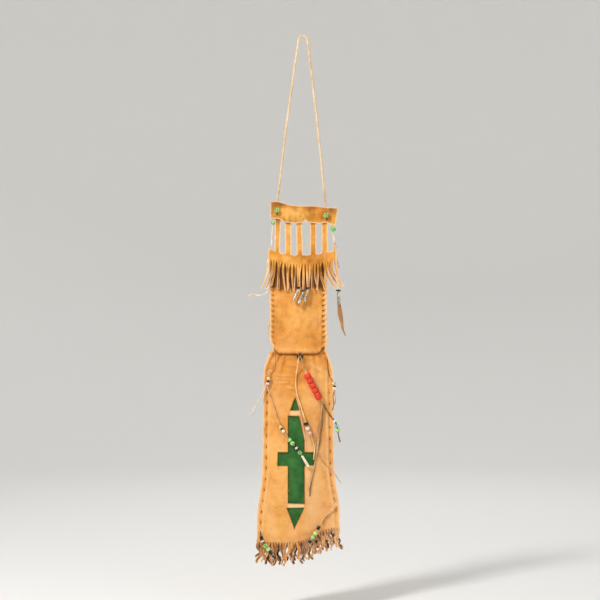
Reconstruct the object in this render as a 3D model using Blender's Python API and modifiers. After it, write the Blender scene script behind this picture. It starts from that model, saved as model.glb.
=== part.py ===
"""Fringed pipe bag of smoked hide, hung from its thong.

Every piece is in one frame, in metres: +Z up, the front of the bag faces -Y and +X is to the
viewer's right. The origin is the point where the top of the hanging thong bears on its peg, so the
whole bag lies below it. Levels are heights in that frame, and most of them are negative.
"""

import math

import bmesh
import bpy
from mathutils import Vector

# Thickness of the sheets, and the gap kept between pieces that touch
HIDE = 0.0018
CLOTH = 0.0008
GAP = 0.0003

# Lengths down the bag, each from the one before it
THONG_DROP = 0.3000
CUFF_DEPTH = 0.0355
SLAT_LENGTH = 0.0565
YOKE_DEPTH = 0.0165
UPPER_FRINGE_LENGTH = 0.0520
MOUTH_DROP = 0.0045
POUCH_LENGTH = 0.1725
LOWER_BAG_LENGTH = 0.3400
LOWER_FRINGE_LENGTH = 0.0430

# Widths, and where the middle of each part hangs beside the peg
BAG_AXIS = -0.0085
POUCH_WIDTH = 0.1026
NECK_WIDTH = 0.1000
SHOULDER_WIDTH = 0.1250
WAIST_WIDTH = 0.1290
HEM_WIDTH = 0.1490
YOKE_AXIS = -0.0013
YOKE_WIDTH = 0.1234
CUFF_AXIS = 0.0010
CUFF_WIDTH = 0.1190

# The room inside, from hide to hide, and the flat margin outside the side seams
POUCH_ROOM = 0.0120
NECK_ROOM = 0.0100
BELLY_ROOM = 0.0200
HEM_ROOM = 0.0040
SEAM_MARGIN = 0.0080

# How far the hem rises to the right, where the rise starts, and how far up it reaches
HEM_RISE = 0.0255
HEM_RISE_START = 0.15
HEM_RISE_REACH = 0.150

# The yoke's edges rise towards the sides, and its sheet hangs in this plane above the pouch
YOKE_RISE = 0.0115
SLAT_PLANE = -0.0060

CUFF_TOP = -THONG_DROP
CUFF_FOOT = CUFF_TOP - CUFF_DEPTH
YOKE_TOP = CUFF_FOOT - SLAT_LENGTH
YOKE_FOOT = YOKE_TOP - YOKE_DEPTH
MOUTH = YOKE_TOP - MOUTH_DROP
FOLD = MOUTH - POUCH_LENGTH
HEM = FOLD - LOWER_BAG_LENGTH
CUFF_PLANE = SLAT_PLANE - HIDE - GAP

# The blouse fold over the neck: offsets from its level at the middle and at the seams, and how
# far the hide stands out there. It runs out towards the seams over FOLD_END, which lie higher.
FOLD_RISE = 0.0120
FOLD_END = 0.0140
FOLD_ROWS = (
    (0.0170, 0.0165, 0.0012),
    (0.0090, 0.0110, 0.0032),
    (0.0042, 0.0070, 0.0046),
    (0.0010, 0.0040, 0.0042),
    (0.0000, 0.0010, 0.0024),
    (-0.0006, -0.0020, 0.0004),
    (-0.0050, -0.0060, -0.0006),
    (-0.0120, -0.0120, 0.0000),
)
FOLD_REACH = 0.0320

# The gathers under the ends of the fold
PLEAT_HEIGHT = 0.0014
PLEAT_LENGTH = 0.0500
PLEAT_START = 0.35

# How deep the cutters are, front to back
CUT_DEPTH = 0.0400

# Fringe: strips across, their width, and how they hang
UPPER_STRIPS = 24
UPPER_STRIP_WIDTH = 0.0038
UPPER_SPLAY = 0.0085
FRONT_STRIPS = 22
BACK_STRIPS = 16
LOWER_STRIP_WIDTH = 0.0048
LOWER_LEAN = 0.0110
LOWER_KINK = 0.0022
LOWER_CURL = 0.0035

# Slats: middle and width of each, from left to right
SLATS = (
    (-0.0461, 0.0076),
    (-0.0270, 0.0108),
    (-0.0068, 0.0104),
    (0.0180, 0.0108),
    (0.0387, 0.0108),
)
SLAT_HEAD = 0.0130
SLAT_TUCK = 0.0120
YOKE_SETTLE = 0.0220
LEFT_EAR = 0.0105
RIGHT_EAR = 0.0165

# The cut-outs of the front hide, from the foot's height above the hem up: triangle, bar of hide,
# cross, bar, triangle. A triangle is (width, height).
INLAY_AXIS = -0.0126
INLAY_FOOT = 0.0260
TOP_TRIANGLE = (0.0198, 0.0270)
UPPER_BAR = 0.0099
CROSS_WIDTH = 0.0288
CROSS_HEAD = 0.0653
CROSS_SPAN = 0.0657
CROSS_ARM = 0.0243
CROSS_FOOT = 0.0684
LOWER_BAR = 0.0077
BOTTOM_TRIANGLE = (0.0306, 0.0360)
CLOTH_COLUMNS = (4, 17)

# Thongs and beads
HANGING_THONG = 0.0038
TIE_THONG = 0.0024
SIDE_THONG = 0.0030
LOOP_RADIUS = 2.02 * HANGING_THONG
HANGING_TURN = 2.30 * HANGING_THONG
TIE_TURN = 2.02 * TIE_THONG
THONG_BOW = 0.0022
THONG_TURN = math.radians(56)
BEND_CLEAR = 0.0006
CUFF_BEAD = (0.0098, 0.0062)
NECK_BEAD = (0.0112, 0.0070)
NECK_BEAD_STAND = 0.0015
NECK_HOLE_DROP = 0.0060
NECK_HOLE_ASIDE = 0.0031
RED_BEAD_WIDTH = 0.0126
RED_BEAD_LENGTHS = (0.0094, 0.0090, 0.0090, 0.0092, 0.0140)
RED_BEAD_GAP = 0.0004
ROUND = 8

# The strips of the upper fringe that carry a bead and a tin cone: which strip, how far aside, down
# and out its bead sits, how the cone tilts, its length and its widths at the throat and the mouth
CARRIER_WIDTH = 0.0020
CARRIER_BEAD_LENGTH = 0.0034
CARRIER_CLEAR = math.hypot(CARRIER_WIDTH, HIDE) / 2 + GAP
CONE_WALL = 0.0004
CARRIERS = (
    ("left_cone", 10, (0.0010, 0.0430, 0.0075), -0.42, 0.0210, (0.0042, 0.0066), 0.0058),
    ("middle_cone", 12, (-0.0009, 0.0480, 0.0085), -0.36, 0.0210, (0.0042, 0.0066), 0.0058),
    ("right_cone", 13, (0.0020, 0.0435, 0.0075), -0.27, 0.0210, (0.0042, 0.0066), 0.0058),
    ("pendant_cone", 23, (0.0057, 0.0478, 0.0060), 0.06, 0.0220, (0.0050, 0.0076), 0.0090),
)

# The hide leaf that hangs from the pendant's cone: how far down each station lies, how far it has
# drifted to the right, and its width
LEAF = ((-0.0050, 0.0, 0.0040), (0.0010, 0.0, 0.0058), (0.0140, 0.0006, 0.0084), (0.0280, 0.0022, 0.0064),
        (0.0430, 0.0038, 0.0032), (0.0560, 0.0080, 0.0012))

COLOURS = {
    "hide": ((0.62, 0.34, 0.13), 0.85, 0.0),
    "pale_thong": ((0.74, 0.52, 0.32), 0.80, 0.0),
    "dark_thong": ((0.30, 0.14, 0.06), 0.75, 0.0),
    "green_cloth": ((0.02, 0.14, 0.05), 0.95, 0.0),
    "green_glass": ((0.10, 0.60, 0.22), 0.15, 0.0),
    "black_glass": ((0.01, 0.01, 0.01), 0.12, 0.0),
    "red_glass": ((0.72, 0.03, 0.02), 0.25, 0.0),
    "white_glass": ((0.85, 0.82, 0.76), 0.20, 0.0),
    "pink_glass": ((0.80, 0.50, 0.42), 0.20, 0.0),
    "yellow_glass": ((0.62, 0.75, 0.15), 0.15, 0.0),
    "cream_bone": ((0.86, 0.84, 0.62), 0.40, 0.0),
    "gold": ((0.75, 0.55, 0.20), 0.30, 1.0),
    "tin": ((0.62, 0.61, 0.57), 0.35, 1.0),
}


def mix(first, last, share):
    return first + (last - first) * share


def ease(share):
    share = min(max(share, 0.0), 1.0)
    return share * share * (3 - 2 * share)


def at_level(stations, level):
    """The value at a level, eased between stations that are listed from the top down."""
    for (high, first), (low, last) in zip(stations, stations[1:]):
        if level >= low:
            return mix(first, last, ease((high - level) / (high - low)))
    return stations[-1][1]


def steps(first, last, count):
    """count + 1 values from first to last."""
    return [mix(first, last, i / count) for i in range(count + 1)]


# The form of the bag

HALF_WIDTHS = (
    (MOUTH, POUCH_WIDTH / 2),
    (FOLD + 0.030, POUCH_WIDTH / 2),
    (FOLD + 0.014, NECK_WIDTH / 2),
    (FOLD - 0.038, SHOULDER_WIDTH / 2),
    (HEM + 0.140, WAIST_WIDTH / 2),
    (HEM + 0.030, HEM_WIDTH / 2),
    (HEM, HEM_WIDTH / 2),
)
HALF_ROOMS = (
    (MOUTH, POUCH_ROOM / 2),
    (FOLD + 0.020, POUCH_ROOM / 2),
    (FOLD - 0.004, NECK_ROOM / 2),
    (FOLD - 0.070, BELLY_ROOM / 2),
    (HEM + 0.120, BELLY_ROOM / 2),
    (HEM + 0.014, HEM_ROOM / 2),
    (HEM, 0.0),
)


def hem_rise(across, level):
    """How far a point is lifted by the slant of the hem; across runs from -1 to 1, seam to seam."""
    reach = ease((HEM + HEM_RISE_REACH - level) / HEM_RISE_REACH)
    return HEM_RISE * ease(across + HEM_RISE_START) * reach


def bulge(across, level):
    """How far each hide stands off the middle plane: nothing in the seam's margin, most at the middle."""
    half = at_level(HALF_WIDTHS, level)
    inside = (1 - abs(across)) * half - SEAM_MARGIN
    if inside <= 0:
        return 0.0
    return at_level(HALF_ROOMS, level) * math.sin(math.pi / 2 * inside / (half - SEAM_MARGIN))


def hide_point(across, level, side, proud=0.0):
    """A point in the middle of a hide's thickness; side is -1 for the front and 1 for the back."""
    x = BAG_AXIS + across * at_level(HALF_WIDTHS, level)
    z = level + hem_rise(across, level)
    return Vector((x, side * (GAP / 2 + HIDE / 2 + bulge(across, level) + proud), z))


def across_and_level(x, z):
    """Where a point of the front view lies on the bag."""
    level = z
    for _ in range(4):
        across = (x - BAG_AXIS) / at_level(HALF_WIDTHS, level)
        level = z - hem_rise(across, level)
    return across, level


def beside_edge(side, level, inset):
    """The x of a place that far in from a side edge of the bag."""
    return BAG_AXIS + side * (at_level(HALF_WIDTHS, level) - inset)


def front_face(x, z):
    """The y of the front hide's outer face."""
    return -(GAP / 2 + HIDE + bulge(*across_and_level(x, z)))


def column_across(column, columns, level):
    """Columns share the width evenly, apart from one for the margin at each seam."""
    margin = SEAM_MARGIN / at_level(HALF_WIDTHS, level)
    if column in (0, columns):
        return -1.0 if column == 0 else 1.0
    return mix(-1 + margin, 1 - margin, (column - 1) / (columns - 2))


def pleat(column, across, level):
    """Every other column stands out where the hide is gathered, below the ends of the fold."""
    if column % 2 == 0 or abs(across) < PLEAT_START or abs(across) > 0.95:
        return 0.0
    below = (FOLD + FOLD_RISE - level) / PLEAT_LENGTH
    if not 0 < below < 1:
        return 0.0
    return PLEAT_HEIGHT * math.sin(math.pi * below) * ease((abs(across) - PLEAT_START) / 0.3)


def front_rows():
    """(level at the middle, level at the seams, how far it stands out) of each row of the front hide."""
    rows = [(level, level, 0.0) for level in steps(MOUTH, FOLD + FOLD_REACH, 3)]
    rows += [(FOLD + middle, FOLD + FOLD_RISE + seam, out) for middle, seam, out in FOLD_ROWS]
    rows += [(level, level, 0.0) for level in steps(FOLD - FOLD_REACH, HEM + 0.050, 4)]
    rows += [(level, level, 0.0) for level in (HEM + 0.014, HEM)]
    return rows


def front_hide_point(column, row, behind=0.0):
    """A point of the front hide, or one that far behind its middle."""
    middle, seam, out = row
    across = column_across(column, FRONT_STRIPS, middle)
    in_fold = ease((1 - abs(across)) * NECK_WIDTH / 2 / FOLD_END)
    level = mix(seam, middle, in_fold)
    proud = out * in_fold + pleat(column, across, level)
    return hide_point(across, level, -1, proud - behind)


def back_rows():
    levels = steps(MOUTH, FOLD + 0.018, 2) + steps(FOLD - 0.004, FOLD - 0.050, 2)
    return levels + steps(FOLD - 0.150, HEM + 0.050, 3) + [HEM + 0.014, HEM]


def back_hide_point(column, level):
    return hide_point(column_across(column, BACK_STRIPS, level), level, 1)


# The slat yoke

def yoke_rise(x):
    return YOKE_RISE * ((x - YOKE_AXIS) / (YOKE_WIDTH / 2)) ** 2


def yoke_sheet_y(x, z):
    """The sheet hangs flat above the yoke, and lies on the pouch below it."""
    resting = front_face(x, min(z, MOUTH)) - GAP - HIDE / 2
    return mix(SLAT_PLANE, resting, ease((YOKE_TOP + YOKE_SETTLE - z) / YOKE_SETTLE))


def yoke_rows():
    """(level at the middle, share of the yoke's rise) of each row of the slat yoke."""
    head = CUFF_FOOT + SLAT_HEAD
    flat = [(head + SLAT_TUCK, 0.0), (mix(head, YOKE_TOP, 0.5), 0.0), (YOKE_TOP + YOKE_SETTLE, 0.0)]
    shaped = [(YOKE_TOP + YOKE_SETTLE * 0.25, 1.0), (YOKE_TOP - YOKE_DEPTH * 0.25, 1.0)]
    return flat + shaped + [(YOKE_FOOT, 1.0)]


def yoke_point(column, row):
    level, rising = row
    x = YOKE_AXIS + YOKE_WIDTH * (column / UPPER_STRIPS - 0.5)
    z = level + rising * yoke_rise(x)
    return Vector((x, yoke_sheet_y(x, z), z))


# Collections, materials and the ways of making a piece

def clear_scene():
    for old in list(bpy.data.objects):
        bpy.data.objects.remove(old)


def new_collection(name):
    collection = bpy.data.collections.new(name)
    bpy.context.scene.collection.children.link(collection)
    return collection


def material(name, colour):
    """Each piece has a material of its own."""
    base, roughness, metallic = COLOURS[colour]
    made = bpy.data.materials.new(name)
    made.use_nodes = True
    shader = made.node_tree.nodes["Principled BSDF"]
    shader.inputs["Base Color"].default_value = (*base, 1.0)
    shader.inputs["Roughness"].default_value = roughness
    shader.inputs["Metallic"].default_value = metallic
    return made


def add(name, data, colour):
    piece = bpy.data.objects.new(name, data)
    BAG.objects.link(piece)
    data.materials.append(material(name, colour))
    return piece


def thicken(piece, thickness):
    wall = piece.modifiers.new("thickness", "SOLIDIFY")
    wall.thickness = thickness
    wall.offset = 0.0
    wall.use_even_offset = True


def draped_grid(columns, rows, point):
    """A grid primitive whose vertices are laid where point(column, row) says."""
    mesh = bmesh.new()
    bmesh.ops.create_grid(mesh, x_segments=columns, y_segments=len(rows) - 1, size=1.0)
    for vertex in mesh.verts:
        column = round((vertex.co.x + 1) / 2 * columns)
        row = round((1 - vertex.co.y) / 2 * (len(rows) - 1))
        vertex.co = point(column, rows[row])
    return mesh


def lowest_edges(mesh, columns):
    """The edges along the foot of a draped grid, from left to right."""
    mesh.verts.ensure_lookup_table()
    foot = [edge for edge in mesh.edges if edge.is_boundary and all(v.index <= columns for v in edge.verts)]
    return sorted(foot, key=lambda edge: edge.verts[0].co.x + edge.verts[1].co.x)


def cut_strip(mesh, edge, path):
    """Extrudes one edge of the sheet down a path of (middle, half width) pairs."""
    for middle, half in path:
        grown = bmesh.ops.extrude_edge_only(mesh, edges=[edge])["geom"]
        edge = next(part for part in grown if isinstance(part, bmesh.types.BMEdge))
        left, right = sorted(edge.verts, key=lambda vertex: vertex.co.x)
        left.co = middle - half
        right.co = middle + half


def sheet(name, mesh, thickness, colour):
    bmesh.ops.recalc_face_normals(mesh, faces=mesh.faces)
    data = bpy.data.meshes.new(name)
    mesh.to_mesh(data)
    mesh.free()
    piece = add(name, data, colour)
    thicken(piece, thickness)
    return piece


def outline(name, loops, y, thickness, collection):
    """A flat plate in the plane of that y, from outlines of (x, z) points; later loops are holes."""
    curve = bpy.data.curves.new(name, "CURVE")
    curve.dimensions = "2D"
    curve.fill_mode = "BOTH"
    curve.extrude = thickness / 2
    for loop in loops:
        spline = curve.splines.new("POLY")
        spline.points.add(len(loop) - 1)
        spline.use_cyclic_u = True
        for point, (x, z) in zip(spline.points, loop):
            point.co = (x, z, 0.0, 1.0)
    plate = bpy.data.objects.new(name, curve)
    plate.location = (0.0, y, 0.0)
    plate.rotation_euler = (math.pi / 2, 0.0, 0.0)
    collection.objects.link(plate)
    return plate


def as_mesh(plate):
    """The plate as a mesh with its caps welded to its sides, in place of the curve."""
    name = plate.name
    bpy.context.view_layer.update()
    evaluated = plate.evaluated_get(bpy.context.evaluated_depsgraph_get())
    data = bpy.data.meshes.new_from_object(evaluated)
    data.transform(plate.matrix_world)
    mesh = bmesh.new()
    mesh.from_mesh(data)
    bmesh.ops.remove_doubles(mesh, verts=mesh.verts, dist=1e-6)
    bmesh.ops.recalc_face_normals(mesh, faces=mesh.faces)
    mesh.to_mesh(data)
    mesh.free()
    collection = plate.users_collection[0]
    bpy.data.objects.remove(plate)
    made = bpy.data.objects.new(name, data)
    collection.objects.link(made)
    return made


def ring_of(x, z, clear_radius):
    """A round opening of a few sides that leaves clear_radius free."""
    radius = clear_radius / math.cos(math.pi / ROUND)
    turns = [math.tau * (i + 0.5) / ROUND for i in range(ROUND)]
    return [(x + radius * math.cos(turn), z + radius * math.sin(turn)) for turn in turns]


def cutter(name, loop, depth, y=0.0):
    made = as_mesh(outline(name, [loop], y, depth, CUTTERS))
    made.hide_render = True
    made.display_type = "WIRE"
    return made


def cut(piece, tool):
    difference = piece.modifiers.new(tool.name, "BOOLEAN")
    difference.operation = "DIFFERENCE"
    difference.solver = "EXACT"
    difference.object = tool


def turned(name, profile, where, along, colour, closed=True):
    """A profile of (radius, height) points, listed down its outer side, spun about its own axis."""
    mesh = bmesh.new()
    ends = [mesh.verts.new((radius, 0.0, height)) for radius, height in profile]
    for first, last in zip(ends, ends[1:]):
        mesh.edges.new((first, last))
    if closed:
        mesh.edges.new((ends[-1], ends[0]))
    data = bpy.data.meshes.new(name)
    mesh.to_mesh(data)
    mesh.free()
    piece = add(name, data, colour)
    spin = piece.modifiers.new("spin", "SCREW")
    spin.steps = ROUND
    spin.render_steps = ROUND
    spin.use_merge_vertices = True
    spin.merge_threshold = 0.00001
    spin.use_smooth_shade = True
    piece.location = where
    piece.rotation_mode = "QUATERNION"
    piece.rotation_quaternion = Vector(along).to_track_quat("Z", "Y")
    return piece


def bead(name, where, along, width, length, clear_radius, colour):
    """A round bead on whatever passes through it with clear_radius free."""
    hole = clear_radius / math.cos(math.pi / ROUND)
    outer = width / 2
    half = length / 2
    profile = ((hole, half), (outer, half * 0.5), (outer, -half * 0.5), (hole, -half))
    return turned(name, profile, where, along, colour)


def cone(name, top, mouth, top_width, mouth_width, wall, colour):
    """An open cone of thin sheet, from its throat at top to its mouth."""
    middle = (top + mouth) / 2
    half = (top - mouth).length / 2
    profile = ((top_width / 2, half), (mouth_width / 2, -half),
               (mouth_width / 2 - wall, -half), (top_width / 2 - wall, half))
    return turned(name, profile, middle, top - mouth, colour)


class Thong:
    """A round thong on a smooth curve through its route, whose points are chosen by hand."""

    def __init__(self, name, width, route, colour, swells=()):
        self.name = name
        self.radius = width / 2
        self.points = self.smoothed([Vector(point) for point in route])
        curve = bpy.data.curves.new(name, "CURVE")
        curve.dimensions = "3D"
        curve.bevel_depth = self.radius
        curve.bevel_resolution = 2
        curve.use_fill_caps = True
        curve.render_resolution_u = 0
        spline = curve.splines.new("POLY")
        spline.points.add(len(self.points) - 1)
        for spot, point in zip(spline.points, self.points):
            spot.co = (*point, 1.0)
        for end, swell in swells:
            spline.points[end].radius = swell
        add(name, curve, colour)

    @staticmethod
    def smoothed(route):
        """Points read from a smooth curve through the route, one for each THONG_TURN it turns by."""
        ends = [2 * route[0] - route[1]] + route + [2 * route[-1] - route[-2]]
        points = [route[0]]
        for a, b, c, d in zip(ends, ends[1:], ends[2:], ends[3:]):
            count = max(1, math.ceil((c - a).angle(d - b) / THONG_TURN))
            for i in range(1, count + 1):
                t = i / count
                points.append(0.5 * (2 * b + (c - a) * t + (2 * a - 5 * b + 4 * c - d) * t**2
                                     + (3 * b - a - 3 * c + d) * t**3))
        return points

    def at(self, distance):
        """The point that far along the thong."""
        for first, last in zip(self.points, self.points[1:]):
            length = (last - first).length
            if distance <= length:
                return first.lerp(last, distance / length)
            distance -= length
        return self.points[-1].copy()

    def bead(self, name, place, width, length, colour):
        """A bead that far along the thong, set along the chord of the stretch inside it."""
        first = self.at(place - length / 2)
        last = self.at(place + length / 2)
        return bead(name, (first + last) / 2, last - first, width, length, self.radius + BEND_CLEAR, colour)


def over(x, z, height):
    """A point that far in front of the front hide's face."""
    return (x, front_face(x, z) - height, z)


def hung(x, z, route):
    """A thong's route over the front of the bag: (aside, drop, clear height) of its points from a hole."""
    return [over(x + aside, z - drop, TIE_THONG / 2 + height) for aside, drop, height in route]


def turned_down(x, z, height, lean):
    """A quarter turn from straight out, at that height over the hide, to down and lean aside."""
    reach = Vector((lean, -1.0)).normalized() * TIE_TURN
    turn = ((0, 0), (0.29, 0.71), (1.0, 1.0), (1.8, 0.95))
    return [over(x + reach.x * down, z + reach.y * down, height + TIE_TURN * out) for down, out in turn]


def out_of_hole(x, z, through, lean):
    """The start of a tie: from inside the bag, or from behind it, straight out of a hole and down."""
    inside = (x, GAP / 2 + HIDE + 0.0020, z) if through else over(x, z, -HIDE - 0.0008)
    return [inside] + turned_down(x, z, GAP, lean)


# Where the thongs pass through the hide: the two holes of the cuff, and the tie holes, of which
# FRONT_ONLY leave the back hide whole
CUFF_HOLES = (
    (SLATS[0][0] - 0.0012, CUFF_TOP - 0.0128),
    (SLATS[-1][0] + 0.0029, CUFF_TOP - 0.0218),
)
NECK_CLEAR = TIE_THONG + 1.5 * GAP
FRONT_ONLY = ("neck", "left_tie")
TIE_HOLES = {
    "neck": (BAG_AXIS + NECK_HOLE_ASIDE, FOLD - NECK_HOLE_DROP),
    "left_tie": (beside_edge(-1, FOLD - 0.0340, 0.0108), FOLD - 0.0340),
    "left_short_tie": (beside_edge(-1, FOLD - 0.0600, 0.0046), FOLD - 0.0600),
    "right_tie": (beside_edge(1, FOLD - 0.0450, 0.0038), FOLD - 0.0450),
    "bottom_left_tie": (beside_edge(-1, HEM + 0.0190, 0.0065), HEM + 0.0190),
    "bottom_right_tie": (beside_edge(1, HEM + 0.0670, 0.0050), HEM + 0.0670),
}

# Routes of the thongs, chosen by eye: (aside, drop, clear height over the hide) from their hole
CENTRE_ROUTE = (
    (-0.0046, 0.0200, 0.0064), (-0.0074, 0.0370, 0.0020), (-0.0066, 0.0600, 0.0013),
    (-0.0006, 0.0820, 0.0017), (0.0064, 0.1050, 0.0037), (0.0110, 0.1200, 0.0047),
    (0.0132, 0.1278, 0.0047), (0.0174, 0.1360, 0.0043),
    (0.0224, 0.1490, 0.0021), (0.0259, 0.1650, 0.0013), (0.0244, 0.1850, 0.0011),
)
RED_ROUTE = (
    (0.0062, 0.0170, 0.0090), (0.0098, 0.0260, 0.0068), (0.0135, 0.0345, 0.0062), (0.0212, 0.0490, 0.0063),
    (0.0298, 0.0653, 0.0063), (0.0354, 0.0762, 0.0059), (0.0399, 0.0870, 0.0033), (0.0389, 0.1050, 0.0015),
    (0.0354, 0.1300, 0.0011), (0.0313, 0.1660, 0.0011), (0.0204, 0.2200, 0.0011),
    (0.0139, 0.2400, 0.0011),
)
DARK_ROUTE = (
    (0.0421, 0.0850, 0.0039), (0.0494, 0.0990, 0.0043), (0.0559, 0.1080, 0.0053), (0.0627, 0.1155, 0.0053),
    (0.0654, 0.1230, 0.0047), (0.0676, 0.1310, 0.0043), (0.0694, 0.1430, 0.0027), (0.0722, 0.1540, 0.0017),
)
LEFT_ROUTE = (
    (-0.0020, 0.0135, 0.0040), (-0.0035, 0.0195, 0.0044), (-0.0036, 0.0270, 0.0031), (0.0005, 0.0410, 0.0013),
    (0.0070, 0.0590, 0.0011), (0.0135, 0.0800, 0.0027), (0.0188, 0.0955, 0.0049), (0.0232, 0.1032, 0.0049),
    (0.0292, 0.1110, 0.0047), (0.0342, 0.1186, 0.0049), (0.0396, 0.1254, 0.0049), (0.0460, 0.1330, 0.0045),
    (0.0536, 0.1420, 0.0045), (0.0580, 0.1490, 0.0043), (0.0630, 0.1575, 0.0037),
)
LEFT_BEADS = (
    ("left_gold_bead", 0.0176, 0.0080, 0.0056, "gold"),
    ("left_pink_bead", 0.0264, 0.0070, 0.0052, "pink_glass"),
    ("drop_gold_bead", 0.1086, 0.0078, 0.0056, "gold"),
    ("drop_white_bead", 0.1173, 0.0060, 0.0052, "white_glass"),
    ("drop_green_bead_1", 0.1362, 0.0080, 0.0064, "green_glass"),
    ("drop_green_bead_2", 0.1442, 0.0082, 0.0064, "green_glass"),
    ("drop_small_beads", 0.1550, 0.0058, 0.0110, "black_glass"),
    ("drop_green_bead_3", 0.1656, 0.0074, 0.0064, "green_glass"),
)
SHORT_ROUTE = ((-0.0087, 0.0170, 0.0052), (-0.0175, 0.0330, 0.0067), (-0.0281, 0.0518, 0.0067))
RIGHT_ROUTE = (
    (0.0060, 0.0125, 0.0046), (0.0068, 0.0200, 0.0046), (0.0066, 0.0280, 0.0031),
    (0.0080, 0.0390, 0.0017), (0.0060, 0.0485, 0.0015),
)
BOTTOM_LEFT_ROUTE = (
    (0.0032, 0.0150, 0.0064), (0.0075, 0.0220, 0.0086), (0.0129, 0.0285, 0.0098),
    (0.0175, 0.0345, 0.0101), (0.0220, 0.0400, 0.0101),
)
BOTTOM_RIGHT_ROUTE = (
    (-0.0115, 0.0120, 0.0024), (-0.0190, 0.0212, 0.0017), (-0.0260, 0.0310, 0.0037),
    (-0.0300, 0.0390, 0.0057), (-0.0342, 0.0475, 0.0071), (-0.0394, 0.0555, 0.0085),
    (-0.0444, 0.0625, 0.0095), (-0.0490, 0.0688, 0.0099),
)
# (out from the pouch's edge, drop from the yoke's foot)
CURL_ROUTE = (
    (0.0, 0.0315), (0.0012, 0.0460), (0.0062, 0.0537), (0.0117, 0.0560), (0.0192, 0.0567),
    (0.0267, 0.0549), (0.0332, 0.0555), (0.0374, 0.0595),
)


# The pieces

def make_cuff():
    """The strip over the head of the slats, with a scalloped lower edge and two thong holes."""
    left = CUFF_AXIS - CUFF_WIDTH / 2
    right = CUFF_AXIS + CUFF_WIDTH / 2
    edge = [
        (left + 0.0018, CUFF_TOP + 0.0039), (left + 0.0117, CUFF_TOP + 0.0039),
        (left + 0.0225, CUFF_TOP + 0.0012), (left + 0.0351, CUFF_TOP - 0.0024),
        (left + 0.0531, CUFF_TOP - 0.0042), (right - 0.0389, CUFF_TOP - 0.0042),
        (right - 0.0191, CUFF_TOP - 0.0069), (right + 0.0025, CUFF_TOP - 0.0078),
        (right + 0.0005, CUFF_TOP - 0.0120), (right - 0.0015, CUFF_TOP - 0.0230),
        (right - 0.0016, CUFF_FOOT - 0.0010), (right - 0.0030, CUFF_FOOT - 0.0045),
        (right - 0.0098, CUFF_FOOT - 0.0045), (right - 0.0128, CUFF_FOOT - 0.0010),
        (right - 0.0220, CUFF_FOOT + 0.0012), (right - 0.0300, CUFF_FOOT - 0.0006),
        (right - 0.0430, CUFF_FOOT + 0.0004), (right - 0.0505, CUFF_FOOT + 0.0008),
        (right - 0.0555, CUFF_FOOT + 0.0050), (right - 0.0605, CUFF_FOOT + 0.0010),
        (left + 0.0440, CUFF_FOOT - 0.0006), (left + 0.0340, CUFF_FOOT + 0.0006),
        (left + 0.0250, CUFF_FOOT + 0.0018), (left + 0.0200, CUFF_FOOT + 0.0055),
        (left + 0.0140, CUFF_FOOT + 0.0078), (left + 0.0010, CUFF_FOOT + 0.0088),
        (left - 0.0004, CUFF_FOOT + 0.0115), (left, CUFF_TOP - 0.0060),
    ]
    holes = [ring_of(x, z, HANGING_THONG / 2 + GAP) for x, z in CUFF_HOLES]
    cuff = as_mesh(outline("cuff", [edge] + holes, CUFF_PLANE, HIDE, BAG))
    cuff.data.materials.append(material("cuff", "hide"))


def window_between(left_slat, right_slat):
    """The opening between two slats, with its foot on the yoke's curved edge."""
    left = left_slat[0] + left_slat[1] / 2
    right = right_slat[0] - right_slat[1] / 2
    foot = [(x, YOKE_TOP + yoke_rise(x)) for x in steps(left, right, 3)]
    head = CUFF_FOOT + SLAT_HEAD
    return [(left, head)] + foot + [(right, head)]


def side_notch(side):
    """What is cut away beside the outer slat, down to the ear of the yoke where the side thong passes."""
    slat = SLATS[0] if side < 0 else SLATS[-1]
    edge = slat[0] + side * slat[1] / 2
    corner = YOKE_AXIS + side * YOKE_WIDTH / 2
    outside = corner + side * SLAT_TUCK
    ear = YOKE_TOP + (LEFT_EAR if side < 0 else RIGHT_EAR)
    foot = YOKE_TOP + yoke_rise(edge)
    top = CUFF_TOP
    points = [(edge, top), (edge, foot), (mix(edge, corner, 0.35), foot if side > 0 else ear - HIDE / 3),
              (mix(edge, corner, 0.50), ear), (mix(edge, corner, 0.85), ear),
              (mix(edge, corner, 0.97), YOKE_TOP), (mix(edge, corner, 1.08), YOKE_TOP - HIDE),
              (outside, YOKE_TOP - HIDE), (outside, top)]
    return points if side > 0 else points[::-1]


def upper_strip_path(strip):
    """One hanging strip of the upper fringe: (middle, half width) pairs from below its root."""
    place = (strip + 0.5) / UPPER_STRIPS * 2 - 1
    root_x = YOKE_AXIS + place * YOKE_WIDTH / 2
    root_z = YOKE_FOOT + yoke_rise(root_x)
    length = UPPER_FRINGE_LENGTH * (0.95 + 0.06 * math.sin(2.4 * strip))
    splay = UPPER_SPLAY * place**3 + 0.0009 * math.sin(1.9 * strip)
    lift = 0.0010 if strip % 2 else 0.0034
    path = []
    for share in steps(0.18, 1.0, 3):
        x = root_x + splay * share**2
        z = root_z - length * share
        y = front_face(x, z) - GAP - HIDE / 2 - lift * share
        path.append((Vector((x, y, z)), Vector((mix(UPPER_STRIP_WIDTH, 0.0030, share) / 2, 0.0, 0.0))))
    return path


def strip_root(strip):
    """The middle of a strip's root, on the foot of the yoke."""
    x = YOKE_AXIS + YOKE_WIDTH * ((strip + 0.5) / UPPER_STRIPS - 0.5)
    z = YOKE_FOOT + yoke_rise(x)
    return Vector((x, yoke_sheet_y(x, z), z))


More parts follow.
